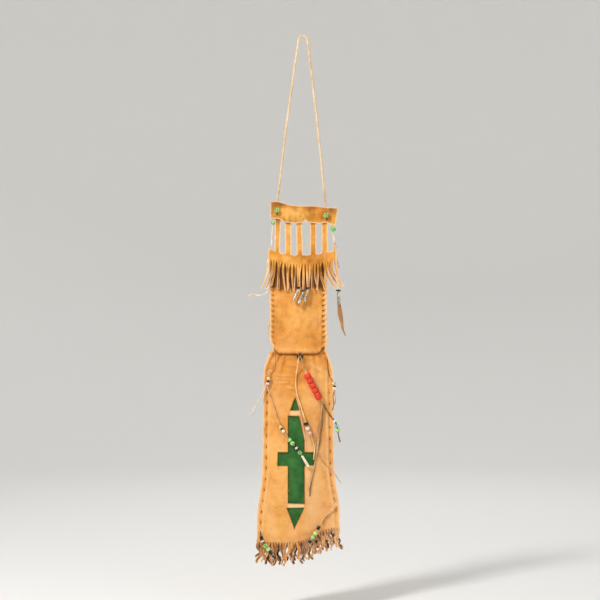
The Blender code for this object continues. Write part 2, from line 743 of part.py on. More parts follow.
def carrier_line(carrier):
    """(above the bead, between bead and cone, inside the cone) on a strip that carries a cone."""
    name, strip, (aside, drop, height), tilt = carrier[:4]
    x = strip_root(strip).x + aside
    z = YOKE_FOOT - drop
    where = Vector((x, front_face(x, z) - height, z))
    head = where + Vector((0.0, 0.0, CARRIER_BEAD_LENGTH / 2 + 0.0015))
    knot = where - Vector((0.0, 0.0, CARRIER_BEAD_LENGTH / 2 + 0.0008))
    axis = Vector((math.sin(tilt), 0.0, -math.cos(tilt)))
    return head, knot, knot + axis * 0.0060


def carrier_path(carrier):
    """A strip that narrows to pass through a bead and ends in the throat of a tin cone."""
    head, knot, throat = carrier_line(carrier)
    root = strip_root(carrier[1])
    full = Vector((UPPER_STRIP_WIDTH / 2, 0.0, 0.0))
    narrow = Vector((CARRIER_WIDTH / 2, 0.0, 0.0))
    return [(root.lerp(head, 0.25), full), (root.lerp(head, 0.75), full * 0.85),
            (head, narrow), (knot, narrow), (throat, narrow)]


def make_slat_yoke():
    mesh = draped_grid(UPPER_STRIPS, yoke_rows(), yoke_point)
    carried = {carrier[1]: carrier for carrier in CARRIERS}
    for strip, edge in enumerate(lowest_edges(mesh, UPPER_STRIPS)):
        path = carrier_path(carried[strip]) if strip in carried else upper_strip_path(strip)
        cut_strip(mesh, edge, path)
    yoke = sheet("slat_yoke", mesh, HIDE, "hide")
    for i, (left, right) in enumerate(zip(SLATS, SLATS[1:])):
        cut(yoke, cutter(f"window_{i + 1}", window_between(left, right), CUT_DEPTH))
    for side, name in ((-1, "left_notch"), (1, "right_notch")):
        cut(yoke, cutter(name, side_notch(side), CUT_DEPTH))
    for i, (x, z) in enumerate(CUFF_HOLES):
        cut(yoke, cutter(f"thong_hole_{i + 1}", ring_of(x, z, HANGING_THONG / 2 + GAP), CUT_DEPTH))


def make_cones():
    """The beads and tin cones on the carrying strips, and the leaf below the pendant's cone."""
    for carrier in CARRIERS:
        head, knot, throat = carrier_line(carrier)
        name, _, _, _, length, widths, bead_width = carrier
        where = (head + knot) / 2 - Vector((0.0, 0.0, 0.00035))
        size = (bead_width, CARRIER_BEAD_LENGTH)
        bead(f"{name}_bead", where, head - knot, *size, CARRIER_CLEAR, "black_glass")
        axis = (throat - knot).normalized()
        top = knot + axis * 0.0010
        mouth = top + axis * length
        cone(name, top, mouth, *widths, CONE_WALL, "tin")
        if name == "pendant_cone":
            make_leaf(mouth, axis)


def make_leaf(mouth, axis):
    mesh = bmesh.new()
    rows = []
    for down, aside, width in LEAF:
        middle = mouth + axis * down + Vector((aside, 0.0, 0.0))
        rows.append([mesh.verts.new(middle + Vector((part * width / 2, 0.0, 0.0))) for part in (-1, 0, 1)])
    for upper, lower in zip(rows, rows[1:]):
        for i in range(2):
            mesh.faces.new((upper[i], lower[i], lower[i + 1], upper[i + 1]))
    sheet("pendant_leaf", mesh, HIDE, "hide")


def lower_strip_path(strip, strips, side, rows_foot):
    """One kinked strip of the bottom fringe, curling away from the bag's middle plane."""
    left, right = rows_foot[strip], rows_foot[strip + 1]
    root = (left + right) / 2
    length = LOWER_FRINGE_LENGTH * (0.93 + 0.09 * math.sin(2.1 * strip))
    phase = 0.55 * strip + (0.0 if side < 0 else 1.6)
    lean = LOWER_LEAN * (0.75 + 0.35 * math.cos(math.tau * strip / strips))
    path = []
    for share in steps(0.16, 1.0, 4):
        kink = LOWER_KINK * (math.sin(phase + 5.5 * share) - math.sin(phase))
        curl = LOWER_CURL * share * (0.7 + 0.3 * math.sin(1.3 * strip + 3 * share))
        middle = root + Vector((lean * share**1.5 + kink, side * curl, -length * share))
        path.append((middle, Vector((mix(LOWER_STRIP_WIDTH, 0.0038, share) / 2, 0.0, 0.0))))
    return path


def make_hide(name, columns, rows, point, side):
    mesh = draped_grid(columns, rows, point)
    foot = [point(column, rows[-1]) for column in range(columns + 1)]
    for strip, edge in enumerate(lowest_edges(mesh, columns)):
        cut_strip(mesh, edge, lower_strip_path(strip, columns, side, foot))
    return sheet(name, mesh, HIDE, "hide")


def inlay_outlines():
    """The three cut-outs, from the foot up, as loops of (x, z) points."""
    x = INLAY_AXIS
    low = HEM + INLAY_FOOT + BOTTOM_TRIANGLE[1]
    foot = low + LOWER_BAR
    arm_foot = foot + CROSS_FOOT
    arm = arm_foot + CROSS_ARM
    head = arm + CROSS_HEAD
    base = head + UPPER_BAR
    bar = CROSS_WIDTH / 2
    span = CROSS_SPAN / 2
    lower = [(x - BOTTOM_TRIANGLE[0] / 2, low), (x, HEM + INLAY_FOOT), (x + BOTTOM_TRIANGLE[0] / 2, low)]
    cross = [(x - bar, head), (x - bar, arm), (x - span, arm), (x - span, arm_foot), (x - bar, arm_foot),
             (x - bar, foot), (x + bar, foot), (x + bar, arm_foot), (x + span, arm_foot), (x + span, arm),
             (x + bar, arm), (x + bar, head)]
    upper = [(x, base + TOP_TRIANGLE[1]), (x - TOP_TRIANGLE[0] / 2, base), (x + TOP_TRIANGLE[0] / 2, base)]
    return lower, cross, upper


def make_cloth():
    """One piece of cloth behind all the cut-outs, lying on the inside of the front hide."""
    behind = HIDE / 2 + GAP + CLOTH / 2
    first, last = CLOTH_COLUMNS
    rows = [row for row in front_rows() if FOLD - FOLD_REACH >= row[0] > HEM]

    def cloth_point(column, row):
        return front_hide_point(first + column, row, behind)

    mesh = draped_grid(last - first, rows, cloth_point)
    sheet("green_cloth", mesh, CLOTH, "green_cloth")


def make_hides():
    front = make_hide("front_hide", FRONT_STRIPS, front_rows(), front_hide_point, -1)
    back = make_hide("back_hide", BACK_STRIPS, back_rows(), back_hide_point, 1)
    for i, loop in enumerate(inlay_outlines()):
        cut(front, cutter(f"inlay_{i + 1}", loop, CUT_DEPTH, -CUT_DEPTH / 2 - GAP))
    for name, (x, z) in TIE_HOLES.items():
        clear = NECK_CLEAR if name == "neck" else TIE_THONG / 2 + GAP
        hole = cutter(f"{name}_hole", ring_of(x, z, clear), CUT_DEPTH)
        cut(front, hole)
        if name not in FRONT_ONLY:
            cut(back, hole)


def make_hanging_thong():
    """Both ends come out of the cuff through a bead; the loop between them bears on the origin."""
    front = CUFF_PLANE - HIDE / 2 - GAP - CUFF_BEAD[1] - GAP
    back = SLAT_PLANE + HIDE / 2 + GAP
    behind = back + HANGING_TURN
    halves = []
    for side, (hole_x, hole_z) in zip((-1, 1), CUFF_HOLES):
        corner_x = side * LOOP_RADIUS * math.cos(math.radians(15))
        corner_z = HANGING_THONG / 2 - LOOP_RADIUS * (1 - math.sin(math.radians(15)))
        half = [(hole_x, front, hole_z)]
        for up, out in ((0, 0), (0.29, 0.71), (1.0, 1.0)):
            half.append((hole_x, back + HANGING_TURN * out, hole_z + HANGING_TURN * up))
        for share, bow in ((0.90, 0.5), (0.47, 1.0), (0.05, 0.2)):
            x = mix(corner_x, hole_x, share) + side * bow * THONG_BOW
            half.append((x, behind * share, mix(corner_z, hole_z, share)))
        half += [(corner_x, 0.0, corner_z)]
        halves.append(half)
    top = []
    for angle in (128, 90, 52):
        x = LOOP_RADIUS * math.cos(math.radians(angle))
        top.append((x, 0.0, HANGING_THONG / 2 - LOOP_RADIUS * (1 - math.sin(math.radians(angle)))))
    Thong("hanging_thong", HANGING_THONG, halves[0] + top + halves[1][::-1], "pale_thong")
    for name, (x, z) in zip(("left_cuff_bead", "right_cuff_bead"), CUFF_HOLES):
        where = (x, CUFF_PLANE - HIDE / 2 - GAP - CUFF_BEAD[1] / 2, z)
        bead(name, where, (0.0, 1.0, 0.0), *CUFF_BEAD, HANGING_THONG / 2 + GAP, "green_glass")


def make_side_thongs():
    """They hang behind the cuff's corners, pass a bead, go behind the yoke's ears and end in a thick tip."""
    hang = CUFF_PLANE + HIDE / 2 + GAP + SIDE_THONG / 2
    behind = front_face(BAG_AXIS - POUCH_WIDTH / 2, MOUTH) + SIDE_THONG / 2
    cuff_left = CUFF_AXIS - CUFF_WIDTH / 2
    yoke_left = YOKE_AXIS - YOKE_WIDTH / 2
    left = Thong("left_side_thong", SIDE_THONG, [
        (cuff_left + 0.0040, hang, CUFF_FOOT + 0.0175),
        (cuff_left + 0.0043, hang, CUFF_FOOT + 0.0009),
        (cuff_left + 0.0037, hang, CUFF_FOOT - 0.0105),
        (cuff_left + 0.0029, hang, CUFF_FOOT - 0.0245),
        (yoke_left + 0.0070, hang + 0.0008, YOKE_TOP + 0.0200),
        (yoke_left + 0.0052, behind, YOKE_TOP + 0.0060),
        (yoke_left + 0.0016, behind + 0.0008, YOKE_TOP - 0.0030),
        (yoke_left - 0.0022, behind, YOKE_TOP - 0.0285),
    ], "pale_thong", ((-1, 1.35),))
    left.bead("left_side_bead", 0.0166, 0.0080, 0.0060, "green_glass")
    cuff_right = CUFF_AXIS + CUFF_WIDTH / 2
    yoke_right = YOKE_AXIS + YOKE_WIDTH / 2
    right = Thong("right_side_thong", SIDE_THONG, [
        (cuff_right - 0.0070, hang, CUFF_FOOT + 0.0115),
        (cuff_right - 0.0069, hang, CUFF_FOOT - 0.0106),
        (cuff_right - 0.0060, hang + 0.0010, CUFF_FOOT - 0.0215),
        (yoke_right - 0.0048, hang + 0.0026, YOKE_TOP + 0.0200),
        (yoke_right - 0.0031, behind, YOKE_TOP + 0.0070),
        (yoke_right - 0.0014, behind + 0.0006, YOKE_TOP - 0.0030),
        (yoke_right + 0.0056, behind, YOKE_TOP - 0.0256),
    ], "pale_thong", ((-1, 1.35),))
    right.bead("right_side_bead", 0.0221, 0.0102, 0.0085, "green_glass")


def make_neck_thongs():
    """Two ends of the neck thong come out of one hole, through the neck bead, and part."""
    x, z = TIE_HOLES["neck"]
    beside = TIE_THONG / 2 + GAP / 2
    width, length = NECK_BEAD
    out = NECK_BEAD_STAND + length + GAP
    for side, name, route in ((-1, "centre_tie", CENTRE_ROUTE), (1, "red_bead_thong", RED_ROUTE)):
        start = [over(x + side * beside, z, -HIDE - 0.0014)]
        start += turned_down(x + side * beside, z, out, 0.27 * side)
        thong = Thong(name, TIE_THONG, start + hung(x, z, route), "pale_thong")
        if side < 0:
            thong.bead("centre_black_bead", 0.1393, 0.0092, 0.0056, "black_glass")
            thong.bead("centre_white_bead", 0.1473, 0.0082, 0.0056, "white_glass")
            thong.bead("centre_pink_bead", 0.1568, 0.0078, 0.0056, "pink_glass")
        else:
            place = 0.0471
            for i, size in enumerate(RED_BEAD_LENGTHS):
                thong.bead(f"red_bead_{i + 1}", place + size / 2, RED_BEAD_WIDTH, size, "red_glass")
                place += size + RED_BEAD_GAP
    bead_y = front_face(x, z) - NECK_BEAD_STAND - length / 2
    bead("neck_bead", (x, bead_y, z), (0.0, 1.0, 0.0), width, length, NECK_CLEAR, "black_glass")
    dark = Thong("dark_tail", TIE_THONG, hung(x, z, DARK_ROUTE), "dark_thong")
    dark.bead("tail_white_bead", 0.0370, 0.0060, 0.0040, "white_glass")
    dark.bead("tail_blue_bead", 0.0473, 0.0080, 0.0052, "green_glass")
    dark.bead("tail_yellow_bead", 0.0543, 0.0080, 0.0052, "yellow_glass")


def make_side_ties():
    """The beaded ties of the two sides, below the neck."""
    x, z = TIE_HOLES["left_tie"]
    start = out_of_hole(x, z, False, -0.1)
    long = Thong("left_tie", TIE_THONG, start + hung(x, z, LEFT_ROUTE), "pale_thong")
    for name, place, width, length, colour in LEFT_BEADS:
        long.bead(name, place, width, length, colour)
    top = long.at(0.1721)
    axis = (long.at(0.1841) - top).normalized()
    cone("drop_cone", top, top + axis * 0.0230, 0.0050, 0.0068, 0.0007, "cream_bone")

    x, z = TIE_HOLES["left_short_tie"]
    Thong("left_short_tie", TIE_THONG, out_of_hole(x, z, True, -0.5) + hung(x, z, SHORT_ROUTE), "pale_thong")

    x, z = TIE_HOLES["right_tie"]
    start = out_of_hole(x, z, True, 0.5)
    right = Thong("right_tie", TIE_THONG, start + hung(x, z, RIGHT_ROUTE), "pale_thong")
    right.bead("right_gold_bead", 0.0200, 0.0082, 0.0056, "gold")
    right.bead("right_white_bead", 0.0284, 0.0060, 0.0048, "white_glass")


def make_curled_thong():
    """The end of the side lacing, which curls out from behind the upper fringe."""
    edge = BAG_AXIS - POUCH_WIDTH / 2 - GAP - TIE_THONG / 2
    route = [(edge - aside, -0.06 * aside, YOKE_FOOT - drop) for aside, drop in CURL_ROUTE]
    Thong("curled_thong", TIE_THONG, route, "pale_thong")


def make_bottom_ties():
    """The beaded ties of the bottom corners, hanging in front of the fringe."""
    x, z = TIE_HOLES["bottom_left_tie"]
    left = Thong("bottom_left_tie", TIE_THONG, out_of_hole(x, z, True, 0.1) + hung(x, z, BOTTOM_LEFT_ROUTE),
                 "dark_thong")
    left.bead("bottom_left_black_bead", 0.0210, 0.0064, 0.0080, "black_glass")
    left.bead("bottom_left_green_bead", 0.0360, 0.0084, 0.0066, "green_glass")
    left.bead("bottom_left_pale_bead", 0.0436, 0.0080, 0.0062, "green_glass")
    x, z = TIE_HOLES["bottom_right_tie"]
    start = out_of_hole(x, z, True, -1.0)
    right = Thong("bottom_right_tie", TIE_THONG, start + hung(x, z, BOTTOM_RIGHT_ROUTE), "pale_thong")
    right.bead("bottom_right_black_bead", 0.0600, 0.0064, 0.0080, "black_glass")
    right.bead("bottom_right_yellow_bead", 0.0716, 0.0084, 0.0062, "yellow_glass")
    right.bead("bottom_right_green_bead", 0.0804, 0.0086, 0.0062, "green_glass")
    right.bead("bottom_right_dark_bead", 0.0891, 0.0064, 0.0060, "black_glass")


clear_scene()
BAG = new_collection("pipe_bag")
CUTTERS = new_collection("cutters")
make_cuff()
make_slat_yoke()
make_cones()
make_hides()
make_cloth()
make_hanging_thong()
make_side_thongs()
make_neck_thongs()
make_side_ties()
make_curled_thong()
make_bottom_ties()
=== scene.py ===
# %% [markdown]
# # A fringed pipe bag, dressed piece by piece
#
# The CAD frame gives the bag its sizes. Here each of its pieces gets the shape and the finish of the
# real thing: smoked hide with a nap, thongs cut from the same hide, glass beads, tin cones and a
# green wool cloth behind the openings. Numbers are in metres, and tables of points in millimetres.
# +Z is up, the bag's front faces -Y, and the origin is where the thong bears what hangs from it.

# %% Load the frame
import math
import random

import bmesh
import bpy
from mathutils import Matrix, Vector, kdtree, noise


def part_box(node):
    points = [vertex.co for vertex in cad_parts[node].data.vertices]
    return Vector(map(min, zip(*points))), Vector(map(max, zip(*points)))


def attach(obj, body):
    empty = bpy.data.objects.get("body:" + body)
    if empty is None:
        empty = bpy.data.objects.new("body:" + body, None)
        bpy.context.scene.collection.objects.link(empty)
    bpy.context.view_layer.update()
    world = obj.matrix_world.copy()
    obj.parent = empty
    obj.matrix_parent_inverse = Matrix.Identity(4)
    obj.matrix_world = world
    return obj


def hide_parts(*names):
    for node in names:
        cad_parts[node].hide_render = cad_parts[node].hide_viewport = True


noise.seed_set(1)  # without a seed of its own, noise_vector differs from run to run
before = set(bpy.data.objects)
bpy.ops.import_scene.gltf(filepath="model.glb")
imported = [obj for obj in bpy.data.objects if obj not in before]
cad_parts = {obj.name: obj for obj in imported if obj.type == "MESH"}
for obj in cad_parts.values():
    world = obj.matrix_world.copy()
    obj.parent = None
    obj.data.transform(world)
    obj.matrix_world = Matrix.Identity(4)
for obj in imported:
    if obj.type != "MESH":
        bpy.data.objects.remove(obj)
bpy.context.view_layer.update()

# %% [markdown]
# ## The camera
#
# The bag was looked at from straight in front and from far away, so its sides run straight. A long
# lens from three metres does the same. The field is as tall as the bag and a little more.

# %% Camera
camera_data = bpy.data.cameras.new("camera")
camera_data.lens = 100.0
camera_data.sensor_width = 36.0
camera = bpy.data.objects.new("camera", camera_data)
camera.location = (-0.0054, -3.0, -0.4734)
camera.rotation_euler = (math.radians(90.0), 0.0, 0.0)
bpy.context.scene.collection.objects.link(camera)
bpy.context.scene.camera = camera

# %% [markdown]
# ## The form of the bag
#
# The thongs lie on the hide, so its form comes first. These are the CAD's own levels and widths:
# half widths and half rooms are listed from the mouth down, and eased from one to the next.

# %% Levels, widths and rooms
HIDE, CLOTH, GAP = 0.0018, 0.0008, 0.0003
SKIN = GAP / 2 + HIDE
CUFF_TOP, CUFF_FOOT = -0.3000, -0.3355
YOKE_TOP, YOKE_FOOT = -0.3920, -0.4085
MOUTH, FOLD, HEM = -0.3965, -0.5690, -0.9090
SLAT_PLANE, CUFF_PLANE = -0.0060, -0.0081
BAG_AXIS, YOKE_AXIS = -0.0085, -0.0013
CUFF_LEFT, CUFF_RIGHT = -0.0585, 0.0605
YOKE_WIDTH = 0.1234
POUCH_HALF = 0.0513
SEAM_MARGIN = 0.0080
FRONT = Vector((0.0, -1.0, 0.0))

HALF_WIDTHS = (
    (MOUTH, POUCH_HALF), (FOLD + 0.030, POUCH_HALF), (FOLD + 0.014, 0.0500), (FOLD - 0.038, 0.0625),
    (HEM + 0.140, 0.0645), (HEM + 0.030, 0.0745), (HEM, 0.0745),
)
HALF_ROOMS = (
    (MOUTH, 0.0060), (FOLD + 0.020, 0.0060), (FOLD - 0.004, 0.0050), (FOLD - 0.070, 0.0100),
    (HEM + 0.120, 0.0100), (HEM + 0.014, 0.0020), (HEM, 0.0),
)


def mm(table):
    """Rows of millimetres as rows of metres."""
    return [tuple(number / 1000 for number in row) for row in table]


def mix(first, last, share):
    return first + (last - first) * share


def ease(share):
    share = min(max(share, 0.0), 1.0)
    return share * share * (3 - 2 * share)


def bell(value, middle, width):
    return math.exp(-(((value - middle) / width) ** 2))


def noise_at(x, y, z):
    return noise.noise(Vector((x, y, z)))


def at_level(stations, level):
    """The value at a level, eased between stations that are listed from the top down."""
    for (high, first), (low, last) in zip(stations, stations[1:]):
        if level >= low:
            return mix(first, last, ease((high - level) / (high - low)))
    return stations[-1][1]


def half_width(level):
    return at_level(HALF_WIDTHS, level)


def hem_rise(across, level):
    """The slant of the hem: how far a point is lifted towards the right."""
    return 0.0255 * ease(across + 0.15) * ease((HEM + 0.150 - level) / 0.150)


def bulge(across, level):
    """How far each hide stands off the bag's middle plane."""
    half = half_width(level)
    inside = (1 - abs(across)) * half - SEAM_MARGIN
    if inside <= 0:
        return 0.0
    return at_level(HALF_ROOMS, level) * math.sin(math.pi / 2 * inside / (half - SEAM_MARGIN))


def x_and_z(across, level):
    """Where a place lies that is given by its share of the half width and its level before the slant."""
    return BAG_AXIS + across * half_width(level), level + hem_rise(across, level)


def across_and_level(x, z):
    """The same the other way round."""
    level = z
    for _ in range(4):
        across = (x - BAG_AXIS) / half_width(level)
        level = z - hem_rise(across, level)
    return across, level


def front_face(x, z):
    """The y of the front hide's outer face."""
    return -(SKIN + bulge(*across_and_level(x, z)))


def over(x, z, height):
    """A point that far in front of the front hide."""
    return Vector((x, front_face(x, z) - height, z))


def behind(x, z, height):
    """A point that far behind the back hide."""
    return Vector((x, height - front_face(x, z), z))


def yoke_rise(x):
    """How far the yoke's two curved edges are lifted towards its ears."""
    return 0.0115 * ((x - YOKE_AXIS) / (YOKE_WIDTH / 2)) ** 2


# %% [markdown]
# ## Finishes for hide
#
# Smoked buckskin is tan with darker clouds where the smoke sat, a soft nap that scatters light, and
# a paler core where it is cut. Noise at three sizes gives the clouds, the grain and the nap. The
# colour comes from the large sizes, and the bump from the small ones. All of it reads object
# coordinates, so it sticks to the piece.

# %% Nodes for a finish
class Finish:
    """A material, and the nodes that the finishes here are made of."""

    def __init__(self, name, roughness, values):
        self.material = bpy.data.materials.new(name)
        self.material.use_nodes = True
        self.tree = self.material.node_tree
        self.shader = self.tree.nodes["Principled BSDF"]
        self.fill(self.shader, {"Roughness": roughness, **values})
        self.place = self.add("TexCoord").outputs["Object"]

    def fill(self, node, values):
        """Sets a node's inputs; a value that is a socket is linked."""
        for key, value in values.items():
            if isinstance(value, bpy.types.NodeSocket):
                self.tree.links.new(value, node.inputs[key])
            else:
                node.inputs[key].default_value = value

    def add(self, kind, values={}):
        node = self.tree.nodes.new("ShaderNode" + kind)
        self.fill(node, values)
        return node

    def grain(self, scale, detail=4.0, rough=0.55, stretch=None):
        """Noise of that many grains to the metre, stretched along an axis if asked."""
        place = self.place
        if stretch:
            place = self.add("Mapping", {"Scale": stretch, "Vector": place}).outputs["Vector"]
        values = {"Scale": scale, "Detail": detail, "Roughness": rough, "Vector": place}
        return self.add("TexNoise", values).outputs["Fac"]

    def ramp(self, value, *stops):
        """Colours along a value: (position, (red, green, blue)) pairs."""
        made = self.add("ValToRGB", {"Fac": value})
        band = made.color_ramp.elements
        band[0].position, band[1].position = stops[0][0], stops[-1][0]
        for position, colour in stops[1:-1]:
            band.new(position)
        for element, (position, colour) in zip(band, stops):
            element.color = (*colour, 1.0)
        return made.outputs["Color"]

    def blend(self, kind, share, first, last):
        """One colour over another; the share is a number or a socket."""
        made = self.add("Mix")
        made.data_type, made.blend_type = "RGBA", kind
        self.fill(made, {"Factor": share, 6: first, 7: last})
        return made.outputs[2]

    def marked(self, colour, dark, gold, pale):
        """Browner or more golden by the sheet's own marks, which hold smoke patches and painted shade and
        highlights, and pale along its cut edges.
        """
        kinds = (("tone", 0.0, -1.0, dark, 0.92), ("tone", 0.0, 1.0, gold, 0.85),
                 ("rim", 0.10, 1.0, pale, 0.85))
        for name, first, last, other, most in kinds:
            mark, flat = self.add("Attribute"), self.add("RGB")
            mark.attribute_name = name
            flat.outputs[0].default_value = (*other, 1.0)
            span = {"From Min": first, "From Max": last, "To Max": most, "Value": mark.outputs["Fac"]}
            share = self.add("MapRange", span).outputs["Result"]
            colour = self.blend("MIX", share, colour, flat.outputs[0])
        return colour

    def dress(self, colour, *layers):
        """Links the colour and a stack of (height, depth in metres, strength) bumps."""
        normal = None
        for height, depth, strength in layers:
            values = {"Distance": depth, "Strength": strength, "Height": height}
            normal = self.add("Bump", {**values, "Normal": normal} if normal else values).outputs["Normal"]
        self.fill(self.shader, {"Base Color": colour, "Normal": normal})
        return self.material


# %% Suede
def suede(name, dark, tan, light, nap=0.35, cloud=11.0, marks=None):
    """Brain-tanned hide: clouds of smoke, a mottled grain, and a nap that catches the light."""
    made = Finish(name, 0.92, {"Sheen Weight": 0.15, "Sheen Roughness": 0.6,
                               "Sheen Tint": (1.0, 0.78, 0.52, 1.0), "Specular IOR Level": 0.2})
    clouds, mottle = made.grain(cloud, 6.0, 0.62), made.grain(95.0, 5.0, 0.68)
    fine = made.grain(900.0, 3.0, 0.6)
    base = made.ramp(clouds, (0.32, dark), (0.50, tan), (0.66, light))
    spots = made.ramp(mottle, (0.30, (0.72, 0.62, 0.52)), (0.52, (1.0, 1.0, 1.0)), (0.75, (1.10, 1.10, 1.08)))
    fuzz = made.ramp(fine, (0.25, (0.84, 0.81, 0.76)), (0.6, (1.0, 1.0, 1.0)))
    colour = made.blend("MULTIPLY", 0.8, base, spots)
    if marks:
        colour = made.marked(colour, *marks)
    return made.dress(made.blend("MULTIPLY", 0.8, colour, fuzz), (mottle, 0.0006, 0.35), (fine, 0.0003, nap))


# dark, golden and pale colours of the marks; the dark one also paints shade into the fold, the seams, under the
# upper fringe and between fringe strips
HIDE_MARKS = ((0.160, 0.046, 0.008), (0.92, 0.53, 0.22), (0.96, 0.67, 0.42))
FRINGE_MARKS = ((0.140, 0.038, 0.007), (0.92, 0.54, 0.26), (0.95, 0.68, 0.42))
hide_finish = suede("smoked_hide", (0.64, 0.24, 0.04), (0.76, 0.32, 0.062), (0.84, 0.41, 0.1),
                    0.35, 11.0, HIDE_MARKS)
yoke_finish = suede("yoke_hide", (0.58, 0.21, 0.026), (0.74, 0.32, 0.048), (0.84, 0.43, 0.095),
                    0.35, 26.0, HIDE_MARKS)
fringe_finish = suede("fringe_hide", (0.50, 0.18, 0.044), (0.66, 0.29, 0.085), (0.80, 0.43, 0.165),
                      0.35, 40.0, FRINGE_MARKS)
edge_finish = suede("cut_edge", (0.74, 0.46, 0.22), (0.86, 0.62, 0.36), (0.92, 0.74, 0.50),
                    0.5, 60.0, HIDE_MARKS)
butter_finish = suede("butter_lace", (0.72, 0.39, 0.12), (0.84, 0.52, 0.20), (0.92, 0.66, 0.33), 0.5, 60.0)
bleached_finish = suede("bleached_lace", (0.56, 0.45, 0.36), (0.76, 0.66, 0.55), (0.90, 0.83, 0.73), 0.5, 70.0)
leaf_finish = suede("leaf_hide", (0.32, 0.15, 0.062), (0.50, 0.25, 0.11), (0.64, 0.38, 0.21), 0.5, 50.0)
cream_finish = suede("cream_lace", (0.60, 0.38, 0.20), (0.74, 0.52, 0.31), (0.86, 0.68, 0.46), 0.5, 45.0)
lace_finish = suede("pale_lace", (0.58, 0.36, 0.19), (0.72, 0.50, 0.30), (0.80, 0.62, 0.42), 0.5, 45.0)
tail_finish = suede("tan_tail", (0.44, 0.23, 0.095), (0.60, 0.36, 0.165), (0.76, 0.52, 0.29), 0.5, 60.0)
dark_finish = suede("dark_lace", (0.10, 0.05, 0.025), (0.20, 0.10, 0.05), (0.30, 0.17, 0.09), 0.4, 60.0)

# %% [markdown]
# ## Sweeps
#
# A thong is a strip of hide that was cut round and round a scrap, so its section is a rounded
# rectangle which turns slowly as it hangs. A sweep carries such a section along a smooth route. The
# same helper makes the tails and the threads.

# %% Smooth routes and sweeps
def smooth(route, parts=8):
    """Points on a smooth curve through the route."""
    route = [Vector(point) for point in route]
    ends = [2 * route[0] - route[1]] + route + [2 * route[-1] - route[-2]]
    points = [route[0]]
    for a, b, c, d in zip(ends, ends[1:], ends[2:], ends[3:]):
        for t in (i / parts for i in range(1, parts + 1)):
            points.append(0.5 * (2 * b + (c - a) * t + (2 * a - 5 * b + 4 * c - d) * t**2
                                 + (3 * b - a - 3 * c + d) * t**3))
    return points


def length_of(line):
    return sum((last - first).length for first, last in zip(line, line[1:]))


def evenly(line, step):
    """The same line with its points about a step apart."""
    count = max(4, round(length_of(line) / step))
    step = length_of(line) / count
    points, ahead = [line[0].copy()], step
    for first, last in zip(line, line[1:]):
        length = (last - first).length
        while ahead <= length and len(points) < count:
            points.append(first.lerp(last, ahead / length))
            ahead += step
        ahead -= length
    return points + [line[-1].copy()]


def run_at(line, i, before=1, after=1):
    """The way a line runs at one of its points."""
    return (line[min(i + after, len(line) - 1)] - line[max(i - before, 0)]).normalized()


def sweep(line, width, thick, twist=0.0, sides=10, rough=0.05, seed=0.0, tip=0.75):
    """Vertices and faces of a strip along a line; width may be a number or a function of the share."""
    verts, faces = [], []
    normal = None
    square = 0.7
    for i, point in enumerate(line):
        share = i / (len(line) - 1)
        along = run_at(line, i)
        wish = FRONT - along * FRONT.dot(along)
        if normal is None:
            normal = wish if wish.length > 0.2 else along.orthogonal()
        normal = normal - along * normal.dot(along)
        normal = (normal.normalized() + wish * 0.3).normalized()
        turn = twist * noise_at(seed + share * 5.0, seed * 1.7, 0.3)
        across = Matrix.Rotation(turn, 3, along) @ normal.cross(along)
        out = along.cross(across) * -1.0
        wide = (width(share) if callable(width) else width) / 2
        wide *= 1 + rough * noise_at(seed, share * length_of(line[:2]) * len(line) * 160, 1.0)
        size = tip if i in (0, len(line) - 1) else 1.0
        for angle in (math.tau * k / sides for k in range(sides)):
            c, s = math.cos(angle), math.sin(angle)
            verts.append(point + across * wide * size * math.copysign(abs(c) ** square, c)
                         + out * thick / 2 * size * math.copysign(abs(s) ** square, s))
    for i in range(len(line) - 1):
        for k in range(sides):
            a, b = i * sides + k, i * sides + (k + 1) % sides
            faces.append((a, b, b + sides, a + sides))
    faces += [tuple(range(sides - 1, -1, -1)), tuple(range(len(verts) - sides, len(verts)))]
    return verts, faces


# %% Pieces
def only(piece):
    """Selects one piece and makes it active, because an operator acts on all that is selected."""
    bpy.ops.object.select_all(action="DESELECT")
    piece.select_set(True)
    bpy.context.view_layer.objects.active = piece


def in_edit_mode(piece, *steps):
    """Runs (operator, settings) steps on the whole mesh of one piece."""
    only(piece)
    bpy.ops.object.mode_set(mode="EDIT")
    bpy.ops.mesh.select_all(action="SELECT")
    for operator, settings in steps:
        operator(**settings)
    bpy.ops.object.mode_set(mode="OBJECT")


def mesh_piece(name, parts):
    """One object from several (vertices, faces) parts."""
    verts, faces = [], []
    for some_verts, some_faces in parts:
        start = len(verts)
        verts += [tuple(v) for v in some_verts]
        faces += [tuple(start + i for i in face) for face in some_faces]
    data = bpy.data.meshes.new(name)
    data.from_pydata(verts, [], faces)
    piece = bpy.data.objects.new(name, data)
    bpy.context.scene.collection.objects.link(piece)
    in_edit_mode(piece, (bpy.ops.mesh.normals_make_consistent, {"inside": False}))
    return piece


def base_shape(name, maker, **sizes):
    """One of Blender's own shapes, as the start of a piece."""
    bpy.ops.object.select_all(action="DESELECT")
    maker(**sizes)
    bpy.context.active_object.name = name
    return bpy.context.active_object


def aim(piece, where, along):
    """Moves a piece, and turns its own Z axis along a direction."""
    piece.location = where
    piece.rotation_mode = "QUATERNION"
    piece.rotation_quaternion = Vector(along).to_track_quat("Z", "Y")


def wall(piece, thickness, rim=0):
    """A wall in the middle of which the sheet lies, with its rim in the finish that many after its own."""
    made = piece.modifiers.new("thickness", "SOLIDIFY")
    made.thickness = thickness
    made.offset = 0.0
    made.material_offset_rim = rim


